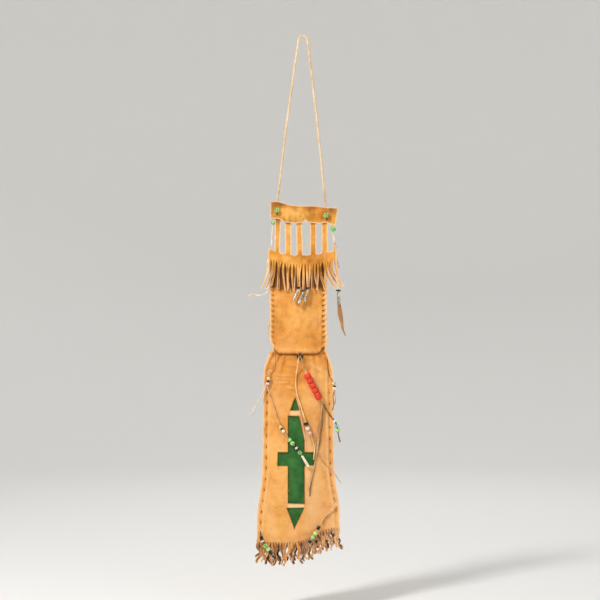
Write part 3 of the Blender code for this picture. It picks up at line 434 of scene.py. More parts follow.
def settle(piece, finishes, slot, nodes=(), angle=60.0):
    """Applies what is on a piece, dresses it, hangs it from the root body and hides the CAD parts it stands
    for.
    """
    only(piece)
    for finish in finishes if isinstance(finishes, (list, tuple)) else [finishes]:
        piece.data.materials.append(finish)
    for step in [modifier.name for modifier in piece.modifiers]:
        bpy.ops.object.modifier_apply(modifier=step)
    bpy.ops.object.transform_apply(location=True, rotation=True, scale=True)
    bpy.ops.object.shade_smooth_by_angle(angle=math.radians(angle))
    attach(piece, "root")
    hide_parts(*nodes)
    print(piece.name, "has", len(piece.data.vertices), "points")
    return piece


# %% [markdown]
# ## The thongs
#
# Each thong starts straight out of its hole, turns down in a quarter round and hangs over the bag.
# The routes are the CAD's own: how far aside and how far down from the hole each point lies, and
# how far the thong's near side is off the hide. The length printed for each is the length of its route.

# %% Laces and holes
TIE, SIDE, HANG = 0.0024, 0.0030, 0.0038
TIE_TURN = 2.02 * TIE
LACES = {}


def beside_edge(side, level, inset):
    return BAG_AXIS + side * (half_width(level) - inset)


def edge_hole(side, level, inset):
    return beside_edge(side, level, inset), level


CUFF_HOLES = ((-0.0473, -0.3128), (0.0416, -0.3218))
HOLES = {
    "neck": (BAG_AXIS + 0.0031, FOLD - 0.0060),
    "left": edge_hole(-1, FOLD - 0.0340, 0.0108),
    "left_short": edge_hole(-1, FOLD - 0.0600, 0.0046),
    "right": edge_hole(1, FOLD - 0.0450, 0.0038),
    "bottom_left": edge_hole(-1, HEM + 0.0190, 0.0065),
    "bottom_right": edge_hole(1, HEM + 0.0670, 0.0050),
}


def lace(name, route, width, thick, finish, node=None, twist=0.9, tip=0.75):
    """One thong along its route, kept with its line so that its beads and the lengths at the end find it."""
    line = evenly(smooth(route), 0.0014)
    piece = mesh_piece(name, [sweep(line, width, thick, twist, seed=len(LACES) * 3.1, tip=tip)])
    settle(piece, finish, "dark_thong" if finish == dark_finish else "pale_thong", (node,) if node else ())
    LACES[name] = (piece, line, width, [])
    print(name, "length", round(length_of(line), 4))


# %% The thong that the bag hangs by
def loop_route():
    """Out of the left cuff bead, back, up, over and down into the right one."""
    front = CUFF_PLANE - HIDE / 2 - GAP - 0.0062 - GAP
    back = SLAT_PLANE + HIDE / 2 + GAP
    turn, radius = 2.30 * HANG, 2.02 * HANG

    def on_top(degrees):
        angle = math.radians(degrees)
        return radius * math.cos(angle), 0.0, HANG / 2 - radius * (1 - math.sin(angle))

    halves = []
    for side, (x, z) in zip((-1, 1), CUFF_HOLES):
        corner_x, _, corner_z = on_top(90 - side * 75)
        half = [(x, front, z)]
        half += [(x, back + turn * out, z + turn * up) for up, out in ((0, 0), (0.29, 0.71), (1.0, 1.0))]
        half += [(mix(corner_x, x, share) + side * bow * 0.0022, (back + turn) * share, mix(corner_z, z, share))
                 for share, bow in ((0.90, 0.5), (0.47, 1.0), (0.05, 0.2), (0.0, 0.0))]
        halves.append(half)
    return halves[0] + [on_top(degrees) for degrees in (128, 90, 52)] + halves[1][::-1]


lace("hanging_lace", loop_route(), HANG, 0.0027, cream_finish, "hanging_thong", 0.4, 0.45)


# %% Thongs beside the yoke
def side_lace(name, node, twist, cuff_x, yoke_x, above, below):
    """From behind a corner of the cuff, through a bead and behind an ear of the yoke."""
    hang = CUFF_PLANE + HIDE / 2 + GAP + SIDE / 2
    back = front_face(BAG_AXIS - POUCH_HALF, MOUTH) + SIDE / 2
    route = [(cuff_x + x, hang + y, CUFF_FOOT + z) for x, y, z in mm(above)]
    route += [(yoke_x + x, back + y, YOKE_TOP + z) for x, y, z in mm(below)]
    lace(name, route, SIDE, 0.0019, bleached_finish, node, twist)


side_lace("left_side_lace", "left_side_thong", 0.3, CUFF_LEFT, YOKE_AXIS - YOKE_WIDTH / 2,
          ((4, 0, 17.5), (4.3, 0, 0.9), (3.7, 0, -10.5), (2.9, 0, -24.5), (2.5, 0.8, -36.5)),
          ((5.2, 0, 6), (1.6, 0.8, -3), (-2.2, 0, -28.5)))
side_lace("right_side_lace", "right_side_thong", 0.4, CUFF_RIGHT, YOKE_AXIS + YOKE_WIDTH / 2,
          ((-7, 0, 11.5), (-6.9, 0, -10.6), (-6, 1, -21.5), (-4.9, 2.6, -36.5)),
          ((-3.1, 0, 7), (-1.4, 0.6, -3), (5.6, 0, -25.6)))


# %% Thongs on the lower bag
def turned_down(x, z, height, lean):
    """A quarter turn from straight out to down, leaning aside."""
    reach = Vector((lean, -1.0)).normalized() * TIE_TURN
    turn = ((0, 0), (0.29, 0.71), (1.0, 1.0), (1.8, 0.95))
    return [over(x + reach.x * down, z + reach.y * down, height + TIE_TURN * out) for down, out in turn]


def out_of_neck(side):
    """Two ends share the neck hole and the black bead, and part below it."""
    x, z = HOLES["neck"]
    x += side * (TIE / 2 + GAP / 2)
    return [over(x, z, -HIDE - 0.0014)] + turned_down(x, z, 0.0015 + 0.0070 + GAP, 0.27 * side)


def out_of_hole(hole, lean, through=True):
    """Straight out of a hole in the front hide, or in both, and down."""
    x, z = HOLES[hole]
    inside = Vector((x, SKIN + 0.0020, z)) if through else over(x, z, -HIDE - 0.0008)
    return [inside] + turned_down(x, z, GAP, lean)


def tie(name, node, finish, hole, start, route):
    """A thong that starts at a hole and goes on by (aside, down, off the hide) points."""
    x, z = HOLES[hole]
    hung = [over(x + aside, z - down, TIE / 2 + off) for aside, down, off in mm(route)]
    lace(name, start + hung, TIE, 0.0015, finish, node)


tie("centre_lace", "centre_tie", butter_finish, "neck", out_of_neck(-1), (
    (-4.6, 20, 6.4), (-7.4, 37, 2), (-6.6, 60, 1.3), (-0.6, 82, 1.7), (6.4, 105, 3.7), (11, 120, 4.7),
    (13.2, 127.8, 4.7), (17.4, 136, 4.3), (22.4, 149, 2.1), (25.9, 165, 1.3), (24.4, 185, 1.1)))
tie("red_bead_lace", "red_bead_thong", tail_finish, "neck", out_of_neck(1), (
    (6.2, 17, 9), (9.8, 26, 6.8), (13.5, 34.5, 6.2), (21.2, 49, 6.3), (29.8, 65.3, 6.3), (35.4, 76.2, 5.9),
    (39.9, 87, 3.3), (38.9, 105, 1.5), (35.4, 130, 1.1), (31.3, 166, 1.1), (20.4, 220, 1.1), (13.9, 240, 1.1)))
tie("dark_lace", "dark_tail", dark_finish, "neck", [], (
    (42.1, 85, 3.9), (49.4, 99, 4.3), (55.9, 108, 5.3), (62.7, 115.5, 5.3), (65.4, 123, 4.7), (67.6, 131, 4.3),
    (69.4, 143, 2.7), (72.2, 154, 1.7)))
tie("left_lace", "left_tie", tail_finish, "left", out_of_hole("left", -0.1, False), (
    (-2, 13.5, 4), (-3.5, 19.5, 4.4), (-3.6, 27, 3.1), (0.5, 41, 1.3), (7, 59, 1.1), (13.5, 80, 2.7),
    (18.8, 95.5, 4.9), (23.2, 103.2, 4.9), (29.2, 111, 4.7), (34.2, 118.6, 4.9), (39.6, 125.4, 4.9),
    (46, 133, 4.5), (53.6, 142, 4.5), (58, 149, 4.3), (63, 157.5, 3.7)))
tie("left_short_lace", "left_short_tie", bleached_finish, "left_short", out_of_hole("left_short", -0.5), (
    (-8.7, 17, 5.2), (-17.5, 33, 6.7), (-28.1, 51.8, 6.7)))
tie("right_lace", "right_tie", tail_finish, "right", out_of_hole("right", 0.5), (
    (6, 12.5, 4.6), (6.8, 20, 4.6), (6.6, 28, 3.1), (8, 39, 1.7), (6, 48.5, 1.5)))

curl = mm(((0, 31.5), (1.2, 46), (6.2, 53.7), (11.7, 56), (19.2, 56.7), (26.7, 54.9), (33.2, 55.5),
           (37.4, 59.5)))
pouch_edge = BAG_AXIS - POUCH_HALF - GAP - TIE / 2
lace("curled_lace", [(pouch_edge - aside, -0.06 * aside, YOKE_FOOT - down) for aside, down in curl],
     TIE, 0.0018, bleached_finish, "curled_thong", 0.5)

tie("bottom_left_lace", "bottom_left_tie", dark_finish, "bottom_left", out_of_hole("bottom_left", 0.1), (
    (3.2, 15, 6.4), (7.5, 22, 8.6), (12.9, 28.5, 9.8), (17.5, 34.5, 10.1), (22, 40, 10.1)))
tie("bottom_right_lace", "bottom_right_tie", butter_finish, "bottom_right", out_of_hole("bottom_right", -1.0), (
    (-11.5, 12, 2.4), (-19, 21.2, 1.7), (-26, 31, 3.7), (-30, 39, 5.7), (-34.2, 47.5, 7.1), (-39.4, 55.5, 8.5),
    (-44.4, 62.5, 9.5), (-49, 68.8, 9.9)))

# %% [markdown]
# ## Sheets of hide
#
# A hide is a sheet, so it starts as a grid with one layer, which is laid over the form, cut, and
# then given its thickness. The rim that this makes gets the paler finish of a cut edge. A fringe is
# the foot of the same sheet cut into strips, so each strip grows from the sheet's last row and
# shares its points, and no seam shows.

# %% Grids with a fringe
def quads(upper, lower):
    return [(a, c, d, b) for a, b, c, d in zip(upper, upper[1:], lower, lower[1:])]


def fringed_sheet(name, columns, rows, point, strips=0, strip_point=None, shares=(), tones=None,
                  strip_finish=0):
    """A sheet from point(column, row), whose foot goes on as strips.

    The strips' points come from strip_point(strip, share of its length, part of its width).
    """
    verts = [point(column, row) for row in rows for column in range(columns + 1)]
    tone = [0.0] * len(verts)
    lines = [range(r * (columns + 1), (r + 1) * (columns + 1)) for r in range(len(rows))]
    faces = []
    for upper, lower in zip(lines, lines[1:]):
        faces += quads(upper, lower)
    body, each = len(faces), columns // strips if strips else 0
    parts = [2 * part / each - 1 for part in range(each + 1)] if strips else []
    for strip in range(strips):
        upper = lines[-1][strip * each:(strip + 1) * each + 1]
        for share in shares:
            lower = range(len(verts), len(verts) + each + 1)
            verts += [strip_point(strip, share, part) for part in parts]
            tone += [tones(strip, share, abs(part)) for part in parts]
            faces += quads(upper, lower)
            upper = lower
    piece = mesh_piece(name, [(verts, faces)])
    piece.data.attributes.new("tone", "FLOAT", "POINT").data.foreach_set("value", tone)
    for polygon in piece.data.polygons[body:]:
        polygon.material_index = strip_finish
    face_forward(piece)
    return piece


def face_forward(piece):
    """Turns the sheet's faces to the front, so that its wall is built alike everywhere."""
    mesh = bmesh.new()
    mesh.from_mesh(piece.data)
    if sum(face.normal.y * face.calc_area() for face in mesh.faces) > 0:
        bmesh.ops.reverse_faces(mesh, faces=mesh.faces)
    mesh.to_mesh(piece.data)
    mesh.free()


def mark_sheet(piece, tone_at, rim_at, worn_at=lambda spot: 0.0):
    """Marks each point by how near it is to a cut edge or how worn, and adds to how dark or pale it is; where
    an edge's mark is below zero it adds painted shadow instead of a pale rim.
    """
    mesh = piece.data
    rims = sorted({v for face in mesh.polygons if face.material_index % 2 for v in face.vertices})
    tree = kdtree.KDTree(len(rims))
    for v in rims:
        tree.insert(mesh.vertices[v].co, v)
    tree.balance()
    rim = mesh.attributes.new("rim", "FLOAT", "POINT").data
    tone = mesh.attributes["tone"].data
    for vertex in mesh.vertices:
        reach, most = rim_at(vertex.co)
        near = max(0.0, 1 - tree.find(vertex.co)[2] / reach)
        rim[vertex.index].value = max(near * max(most, 0.0), worn_at(vertex.co))
        tone[vertex.index].value += tone_at(vertex.co) + near * min(most, 0.0)


# %% Cutting a sheet
def cut_loop(mesh, loop):
    """Cuts a mesh straight through along one convex loop of (x, z) points, and drops what is inside."""
    margin, close = 0.002, 0.00025
    xs, zs = zip(*loop)
    middle = Vector((sum(xs) / len(loop), 0.0, sum(zs) / len(loop)))
    sides = []
    for (x1, z1), (x2, z2) in zip(loop, loop[1:] + loop[:1]):
        start, outward = Vector((x1, 0.0, z1)), Vector((z2 - z1, 0.0, x1 - x2)).normalized()
        sides.append((start, -outward if (middle - start).dot(outward) > 0 else outward))
    faces = [face for face in mesh.faces if any(
        min(xs) - margin < v.co.x < max(xs) + margin and min(zs) - margin < v.co.z < max(zs) + margin
        for v in face.verts)]
    for start, outward in sides:
        parts = dict.fromkeys(faces)
        for face in faces:
            parts.update(dict.fromkeys([*face.verts, *face.edges]))
        cut = bmesh.ops.bisect_plane(mesh, geom=list(parts), dist=1e-5, plane_co=start, plane_no=outward)
        faces = [part for part in cut["geom"] if isinstance(part, bmesh.types.BMFace)]
    inside = dict.fromkeys(face for face in faces if all(
        (face.calc_center_median() - start).dot(outward) < -1e-6 for start, outward in sides))
    corners = dict.fromkeys(v for face in faces if face not in inside for v in face.verts)
    bmesh.ops.delete(mesh, geom=list(inside), context="FACES")
    bmesh.ops.remove_doubles(mesh, verts=[v for v in corners if v.is_valid and v.is_boundary], dist=close)


def cut_out(piece, *loops, ragged=0.00012):
    """Cuts a sheet along loops, and leaves its edges as ragged as shears do."""
    mesh = bmesh.new()
    mesh.from_mesh(piece.data)
    for loop in loops:
        cut_loop(mesh, loop)
    for vertex in mesh.verts:
        if vertex.is_boundary:
            vertex.co += ragged * noise.noise_vector(vertex.co * 260.0)
    mesh.to_mesh(piece.data)
    mesh.free()
    print(piece.name, "flat area", round(sum(polygon.area for polygon in piece.data.polygons), 4))


def round_loop(x, z, radius, sides=12):
    turns = [math.tau * i / sides for i in range(sides)]
    return [(x + radius * math.cos(turn), z + radius * math.sin(turn)) for turn in turns]


# %% [markdown]
# ## The hides of the bag
#
# Front and back are cut alike and sewn up the sides. The front is longer: above the neck it
# blouses out over a drawn-in fold, and gathers run down from the ends of the fold. The rows of the
# fold are the CAD's, with a smooth curve between them, and a little noise keeps the hide from
# looking pressed.

# %% Rows of the front hide
FOLD_RISE, FOLD_END, FOLD_REACH = 0.0120, 0.0140, 0.0320
HEM_REACH = 0.050


def even_rows(first, last, count):
    return [Vector((mix(first, last, i / count),) * 2 + (0.0,)) for i in range(count)]


def front_rows():
    """(level at the middle, level at the seams, how far it stands out), from the mouth to the hem."""
    fold_rows = mm(((17, 16.5, 1.2), (9, 11, 3.2), (4.2, 7, 4.6), (1, 4, 4.2), (0, 1, 2.4), (-0.6, -2, 0.4),
                    (-5, -6, -0.6), (-12, -12, 0)))
    fold = [Vector((FOLD + FOLD_REACH, FOLD + FOLD_REACH, 0.0))]
    fold += [Vector((FOLD + middle, FOLD + FOLD_RISE + seam, out)) for middle, seam, out in fold_rows]
    fold += [Vector((FOLD - FOLD_REACH, FOLD - FOLD_REACH, 0.0))]
    rows = even_rows(MOUTH, FOLD + FOLD_REACH, 76) + smooth(fold, 6)
    rows += even_rows(FOLD - FOLD_REACH, HEM + HEM_REACH, 104)[1:]
    return rows + even_rows(HEM + HEM_REACH, HEM, 26) + [Vector((HEM, HEM, 0.0))]


# %% Waves, pleats and creases
def soft(x, z, depth):
    """The slow waves of a hide that has been worked by hand."""
    return depth * (0.7 * noise_at(x * 22, 0.0, z * 13) + 0.3 * noise_at(x * 60, 3.0, z * 45))


def gathers(across, level):
    """Small pleats that run down from the ends of the fold, and fade."""
    inner, outer = 0.25, 0.97
    start = FOLD + FOLD_RISE * ease((abs(across) - 0.5) / 0.5) + 0.004
    below = (start - level) / 0.062
    if not 0 < below < 1 or abs(across) < inner or abs(across) > outer:
        return 0.0
    fan = (abs(across) - inner) / (1 + 0.6 * below)
    sway = math.copysign(0.9, across) + 0.8 * noise_at(across * 3, level * 40, 0.0)
    fade = ease((abs(across) - inner) / 0.25) * ease((outer - abs(across)) / 0.1)
    return 0.0016 * math.cos(math.tau * fan * 5.5 + sway) * math.sin(math.pi * below**0.6) * fade


# where each crease starts and ends, as (x, how far below the fold), and how wide it is
CREASES = (((-0.052, 0.0390), (-0.014, 0.0400), 0.0019), ((-0.054, 0.0452), (-0.016, 0.0456), 0.0019),
           ((-0.056, 0.0520), (-0.018, 0.0512), 0.0020), ((0.009, 0.0200), (0.043, 0.0350), 0.0030),
           ((-0.034, 0.0600), (-0.004, 0.0640), 0.0024))


def creases(x, level):
    """Thin sags that run from side to side below the drawn-in neck: their ridges, and slow waves."""
    window = ease((FOLD - 0.010 - level) / 0.012) * ease((level - FOLD + 0.105) / 0.05)
    ridges = 0.0
    for (x1, down1), (x2, down2), wide in CREASES:
        share = (x - x1) / (x2 - x1)
        down = mix(down1, down2, share) + 0.0006 * noise_at(x * 60, 8.0, down1 * 900)
        along = ease(share / 0.3) * ease((1 - share) / 0.3)
        ridges += along * (bell(FOLD - level, down, wide) - 0.6 * bell(FOLD - level, down + 2.0 * wide, wide))
    return ridges * window, window * noise_at(x * 9.0, 1.0, level * 62.0)


# %% Seams
WHIP_START, WHIP_PITCH = MOUTH - 0.0120, 0.0094
RUN_START, RUN_PITCH = FOLD - 0.0700, {-1: 0.0196, 1: 0.0212}
RUN_INSET = 0.0070


def beat(start, pitch, level):
    """One at each stitch of a seam, and zero half way between two."""
    return 0.5 + 0.5 * math.cos(math.tau * (start - level) / pitch)


def whip_beat(level):
    return beat(WHIP_START - 0.0012, WHIP_PITCH, level)


def seam_form(side, inset, level):
    """The seam's valley with its dents, and the puffed margin and welt on both sides of it."""
    inset += 0.0009 * noise_at(side * 3.0, 6.0, level * 75)
    if level > FOLD + 0.004:
        dent = whip_beat(level)
        shape = -0.0010 * bell(inset, 0.0066, 0.0024) * dent + 0.0009 * bell(inset, 0.0034, 0.0024) * (1 - dent)
        shape += 0.0005 * bell(inset, 0.0110, 0.0022) + 0.0008 * ease((0.0024 - inset) / 0.0024)
        return shape * ease((level - FOLD - 0.004) / 0.02)
    dent = beat(RUN_START, RUN_PITCH[side], level)
    shape = -0.0008 * bell(inset, RUN_INSET, 0.0019) * (0.4 + dent) + 0.0009 * bell(inset, 0.0114, 0.0019)
    shape += 0.0004 * bell(inset, 0.0034, 0.0018) * (1.3 - dent) + 0.0006 * ease((0.0022 - inset) / 0.0022)
    return shape * ease((FOLD - 0.030 - level) / 0.03) * ease((level - HEM - 0.004) / 0.02)


def edge_wander(across, level, z):
    """The drawn-in neck at the left, the pouch that swells past its seam at the right, and a shaky edge."""
    left = 0.0050 * bell(level, FOLD + 0.0095, 0.0060) * ease((-across - 0.55) / 0.45)
    right = 0.0026 * bell(level, FOLD + 0.0190, 0.0095) - 0.0008 * bell(level, FOLD + 0.0080, 0.0060)
    shake = 0.0009 * noise_at(across, 5.0, z * 60) * abs(across)
    return shake + left + right * ease((across - 0.3) / 0.6)


# %% Points of the two hides
FRONT_COLUMNS, BACK_COLUMNS = 120, 116


def front_point(column, row):
    across = 2 * column / FRONT_COLUMNS - 1
    in_fold = ease((1 - abs(across)) * 0.050 / FOLD_END)
    level = mix(row[1], row[0], in_fold)
    x, z = x_and_z(across, level)
    inset = (1 - abs(across)) * half_width(level)
    side = -1 if across < 0 else 1
    proud = row[2] * in_fold + gathers(across, level) + soft(x, z, 0.0010) * ease(inset / 0.008)
    ridges, waves = creases(x, level)
    proud += (0.0009 * ridges + 0.0014 * waves) * ease(inset / 0.010) + seam_form(side, inset, level)
    if level > FOLD + 0.004:
        x -= side * 0.0008 * beat(WHIP_START - 0.0046, WHIP_PITCH, level) * ease((0.006 - inset) / 0.006)
    return Vector((x + edge_wander(across, level, z), -(SKIN - HIDE / 2 + bulge(across, level) + proud), z))


def back_point(column, row):
    across, level = 2 * column / BACK_COLUMNS - 1, row[0]
    x, z = x_and_z(across, level)
    proud = soft(x + 1.0, z, 0.0009) * ease((1 - abs(across)) / 0.15)
    return Vector((x + edge_wander(across, level, z), SKIN - HIDE / 2 + bulge(across, level) + proud, z))


# %% [markdown]
# ## The bottom fringe
#
# Damp hide that dries in narrow strips kinks and curls, so no two strips of the bottom fringe hang
# alike. Each strip leans a little to the right, waves once or twice, turns on its own length, and
# some curl up at the tip. A seeded random number gives each one its own numbers, so that the
# fringe is the same each time.

# %% Strips of the bottom fringe
STRIP_SHARES = [0.04, 0.08, 0.13, 0.18] + [0.18 + 0.82 * i / 16 for i in range(1, 17)]


def bottom_strips(strips, seed):
    """For each strip: its length, lean, wave, twist, curl, layer, width, tone, cut and kink."""
    chance = random.Random(seed)
    return [{
        "length": 0.0405 * chance.uniform(0.76, 1.10), "lean": chance.uniform(-0.006, 0.016),
        "wave": chance.uniform(0.0016, 0.0044), "turns": chance.uniform(0.8, 2.0),
        "phase": chance.uniform(0.0, math.tau), "twist": chance.uniform(-1.25, 1.25),
        "curl": chance.choice((0.0, 0.2, 0.5, 0.9)), "layer": (strip * 7 % 3) * 0.0026,
        "width": chance.uniform(0.0042, 0.0058), "tone": chance.uniform(-1.00, 0.30),
        "cut": chance.uniform(0.03, 0.16), "kink": chance.uniform(-0.0075, 0.0075),
        "at": chance.uniform(0.3, 0.7),
    } for strip in range(strips)]


def across_strip(here, along, twist, width, part, cup):
    """A point beside a strip's middle line; the strip is turned on its length, and cupped by that much."""
    along = along.normalized()
    across = Vector((1.0, 0.0, 0.0))
    across = (across - along * across.dot(along)).normalized()
    across = Matrix.Rotation(twist, 3, along) @ across
    return here + across * width / 2 * part + along.cross(across) * cup * (1 - part * part)


def tones_of(numbers, depth, cuts):
    """Each strip has its own tone, lowered by depth; near its root it gets painted shade in the cuts beside it
    and a painted highlight down its middle, and it is paler at its tip.
    """
    def tone(strip, share, beside):
        shade = (numbers[strip]["tone"] - depth) * ease(share * 4) + 0.40 * ease((share - 0.82) / 0.18)
        root = ease(share * 20) * (1 - ease((share - 0.10) / 0.40))
        return shade + root * (0.35 - (cuts + 0.35) * beside)
    return tone


def hide_of_bag(name, side, columns, rows, point, strips, seed, depth, cuts):
    """One hide with its half of the bottom fringe; side is -1 for the front and 1 for the back."""
    each, numbers = columns // strips, bottom_strips(strips, seed)
    pitch = 2 * half_width(HEM) / strips

    def middle(strip, share):
        n = numbers[strip]
        root = (point(strip * each, rows[-1]) + point((strip + 1) * each, rows[-1])) / 2
        turned = math.tau * n["turns"] * share + n["phase"]
        wave = n["wave"] * (math.sin(turned) - math.sin(n["phase"]))
        curl = n["curl"] * ease((share - 0.62) / 0.38)
        kink = n["kink"] * max(0.0, share - n["at"]) / (1 - n["at"])
        x = root.x + n["lean"] * share**1.4 + wave * ease(share * 2) + kink
        out = ((n["layer"] + 0.0030) * ease(share * 1.6)
               + n["wave"] * 0.8 * math.sin(7 * share + n["phase"]) * share)
        z = root.z - n["length"] * share + 0.010 * curl * curl
        return Vector((x, root.y + side * (out + 0.006 * curl), z))

    def strip_point(strip, share, part):
        n = numbers[strip]
        along = middle(strip, min(share + 0.02, 1.0)) - middle(strip, share - 0.02)
        width = mix(n["width"], n["width"] * 0.78, share) * (1.0 if share < 0.97 else 0.8)
        width = mix(pitch - 0.0002, width, ease((share - n["cut"] * 0.5) / (n["cut"] * 0.5)))
        twist, cup = n["twist"] * ease(share * 1.2), 0.0005 * ease(share * 3)
        return across_strip(middle(strip, share), along, twist, width, part, cup)

    return fringed_sheet(name, columns, rows, point, strips, strip_point, STRIP_SHARES,
                         tones_of(numbers, depth, cuts), 2)


# %% [markdown]
# ## Smoke, wear and painted shade
#
# Smoke settles where the hide is open to it, and hands rub it off again, which leaves browner and
# paler patches. Shade is also painted into the colour: browner in the fold, in the seams, under the upper
# fringe and in the cuts between fringe strips, with painted highlights on the lip of the fold, the puffs and
# the creases; a cut edge is paler.
# Each point of a sheet carries two marks, tone and rim, which its finish reads.

# %% Marks of the bag
INLAY_AXIS = -0.0126
LOW_BASE = HEM + 0.0260 + 0.0360
CROSS_LOW = LOW_BASE + 0.0077
ARM_LOW = CROSS_LOW + 0.0684
ARM_HIGH = ARM_LOW + 0.0243
CROSS_HIGH = ARM_HIGH + 0.0653
TOP_BASE = CROSS_HIGH + 0.0099


def between_cuts(spot):
    """One in the middle of the two narrow bars that part the cross from its triangles."""
    return sum(ease((half - abs(spot.x - INLAY_AXIS)) / 0.004) * bell(spot.z, bar, 0.0042)
               for half, bar in ((0.0165, LOW_BASE + 0.0038), (0.0125, CROSS_HIGH + 0.0050)))


def seam_shade_and_highlight(across, inset, level):
    """Painted shade in the dents at the stitches and painted highlights on the puffs beside them, and pale
    along the very edge, which is partly the edge's own paleness and partly painted light.
    """
    if level < FOLD - 0.03:
        dent = beat(RUN_START, RUN_PITCH[1 if across > 0 else -1], level)
        return -0.36 * bell(inset, RUN_INSET, 0.0020) * (0.5 + dent) + 0.36 * bell(inset, 0.0116, 0.0022)
    dent = whip_beat(level)
    seam = -0.42 * bell(inset, 0.0066, 0.0026) * dent + 0.36 * bell(inset, 0.0036, 0.0030) * (1 - dent)
    return seam + 0.55 * ease((0.0034 - inset) / 0.0020)


def smoke_and_shade_on_front(spot):
    """Where the front hide is browner or paler: smoke patches, painted shade by the fold, in the seams and
    under the fringe, painted highlights on the lip, the puffs and the crease ridges, and the hem.
    """
    across, level = across_and_level(spot.x, spot.z)
    patch = 0.34 * noise_at(spot.x * 32, 9.0, spot.z * 19) + 0.16 * noise_at(spot.x * 90, 2.0, spot.z * 60)
    if spot.z < HEM + hem_rise(across, level):
        return patch - 0.12
    fold = FOLD + FOLD_RISE * ease((abs(across) - 0.6) / 0.4)
    marks = patch + seam_shade_and_highlight(across, (1 - abs(across)) * half_width(level), level)
    # painted shade under the upper fringe
    marks -= 1.20 * ease((level - MOUTH + 0.064 + 0.006 * noise_at(spot.x * 90, 0.0, 0.0)) / 0.012)
    # painted shadow: a thin dark line under the lip of the fold, and painted shade below the fold towards the
    # sides
    marks -= 0.85 * bell(level, fold - 0.0022, 0.0018) + 0.12 * bell(level, fold - 0.020, 0.014) * abs(across)
    # painted shade in a band below the drawn-in neck, weaker towards the right
    fold_shade_reach = (1 - 0.55 * ease(across / 0.3)) * ease((0.8 - abs(across)) / 0.3)
    marks -= 0.38 * bell(level, fold - 0.0080, 0.0065) * fold_shade_reach
    # painted highlight on the lip of the fold
    marks += 0.30 * bell(level, fold + 0.0052, 0.0040)  # on the lip of the fold
    marks += 0.05 + 0.11 * ease((FOLD - level) / 0.01) + 0.14 * ease((FOLD - 0.16 - level) / 0.14)
    marks += 0.22 * ease((across - 0.1) / 0.5) * ease((FOLD - 0.020 - level) / 0.02)  # painted light: paler towards the right, where the key light from the left leaves it darker
    below_tip = ease((HEM + 0.0262 - spot.z) / 0.001) * ease((spot.z - HEM - 0.0190) / 0.003)
    marks -= 0.80 * bell(spot.x, INLAY_AXIS - 0.0030, 0.0010) * below_tip  # painted shade of the slit where the shears ran on
    # painted highlights on the crease ridges and painted shade just below them
    return marks + 0.75 * between_cuts(spot) + 0.40 * creases(spot.x, level)[0]


def worn_on_front(spot):
    """The lower bag is rubbed paler and pinker in patches, most of all towards its right seam."""
    across, level = across_and_level(spot.x, spot.z)
    patch = noise_at(spot.x * 42, 6.0, spot.z * 24) + 0.6 * noise_at(spot.x * 120, 1.0, spot.z * 70)
    rubbed = ease((FOLD - 0.050 - level) / 0.14) * (0.12 + 0.10 * ease((across + 0.1) / 0.6) + 0.16 * patch)
    return rubbed + 0.60 * between_cuts(spot)


def rims_of_bag(spot):
    """How far an edge's mark reaches in, and how pale it is: painted shadow round the inlay, faint on the
    fringe.
    """
    across, level = across_and_level(spot.x, spot.z)
    if level < HEM + 0.004:
        return 0.0012, 0.75 * ease((HEM - 0.004 - level) / 0.010)
    # painted shadow along the cut edges round the green inlay, where the hide stands over the cloth
    if abs(across) < 0.75 and HEM + 0.020 < level < FOLD - 0.040:
        return 0.0014, -1.45
    return 0.0032, 1.0


# %% Front hide
TIE_HOLE, NECK_HOLE = 0.0017, 0.0030


def inlay_loops():
    """The lower triangle, the cross as its upright and its arms, and the upper triangle."""
    x, bar, span = INLAY_AXIS, 0.0144, 0.03285
    return (
        [(x - 0.0162, LOW_BASE), (x - 0.0030, HEM + 0.0250), (x + 0.0150, LOW_BASE + 0.0008)],
        [(x - bar + 0.0002, CROSS_LOW + 0.0006), (x + bar + 0.0008, CROSS_LOW - 0.0004),
         (x + bar + 0.0006, CROSS_HIGH - 0.0440), (x + bar - 0.0092, CROSS_HIGH - 0.0008),
         (x - bar + 0.0006, CROSS_HIGH)],
        [(x - span, ARM_LOW), (x + span, ARM_LOW + 0.0008), (x + span - 0.0006, ARM_HIGH),
         (x - span + 0.0006, ARM_HIGH - 0.0006)],
        [(x - 0.0016, TOP_BASE + 0.0230), (x - 0.0099, TOP_BASE), (x + 0.0058, TOP_BASE + 0.0006)],
    )


rows = front_rows()
front = hide_of_bag("bag_front", -1, FRONT_COLUMNS, rows, front_point, 30, 11, 0.16, 0.70)
cut_out(front, *inlay_loops())
cut_out(front, *[round_loop(*HOLES[name], TIE_HOLE) for name in HOLES if name != "neck"],
        round_loop(*HOLES["neck"], NECK_HOLE), ragged=0.0)
wall(front, HIDE, 1)
settle(front, [hide_finish, edge_finish, fringe_finish, edge_finish], "hide", ("front_hide",))
mark_sheet(front, smoke_and_shade_on_front, rims_of_bag, worn_on_front)

# %% Back hide
back_rows = even_rows(MOUTH, HEM + HEM_REACH, 130) + even_rows(HEM + HEM_REACH, HEM, 20) + [rows[-1]]
# depth 1.00 darkens the back fringe's strips all over: painted shade behind the front strips
back = hide_of_bag("bag_back", 1, BACK_COLUMNS, back_rows, back_point, 29, 23, 1.00, 0.90)
cut_out(back, *[round_loop(*HOLES[name], TIE_HOLE)
                for name in ("left_short", "right", "bottom_left", "bottom_right")])
wall(back, HIDE, 1)
settle(back, [hide_finish, edge_finish, fringe_finish, edge_finish], "hide", ("back_hide",))
mark_sheet(back, lambda spot: 0.30 * noise_at(spot.x * 30, 4.0, spot.z * 17), rims_of_bag)

# %% [markdown]
# ## The green cloth
#
# One piece of wool cloth is sewn in behind the openings, so that the cross and the two triangles
# read green. It lies on the inside of the front hide and follows it. Fulled wool shows no threads,
# only a felt of short hairs, so its finish is noise at a hair's size.

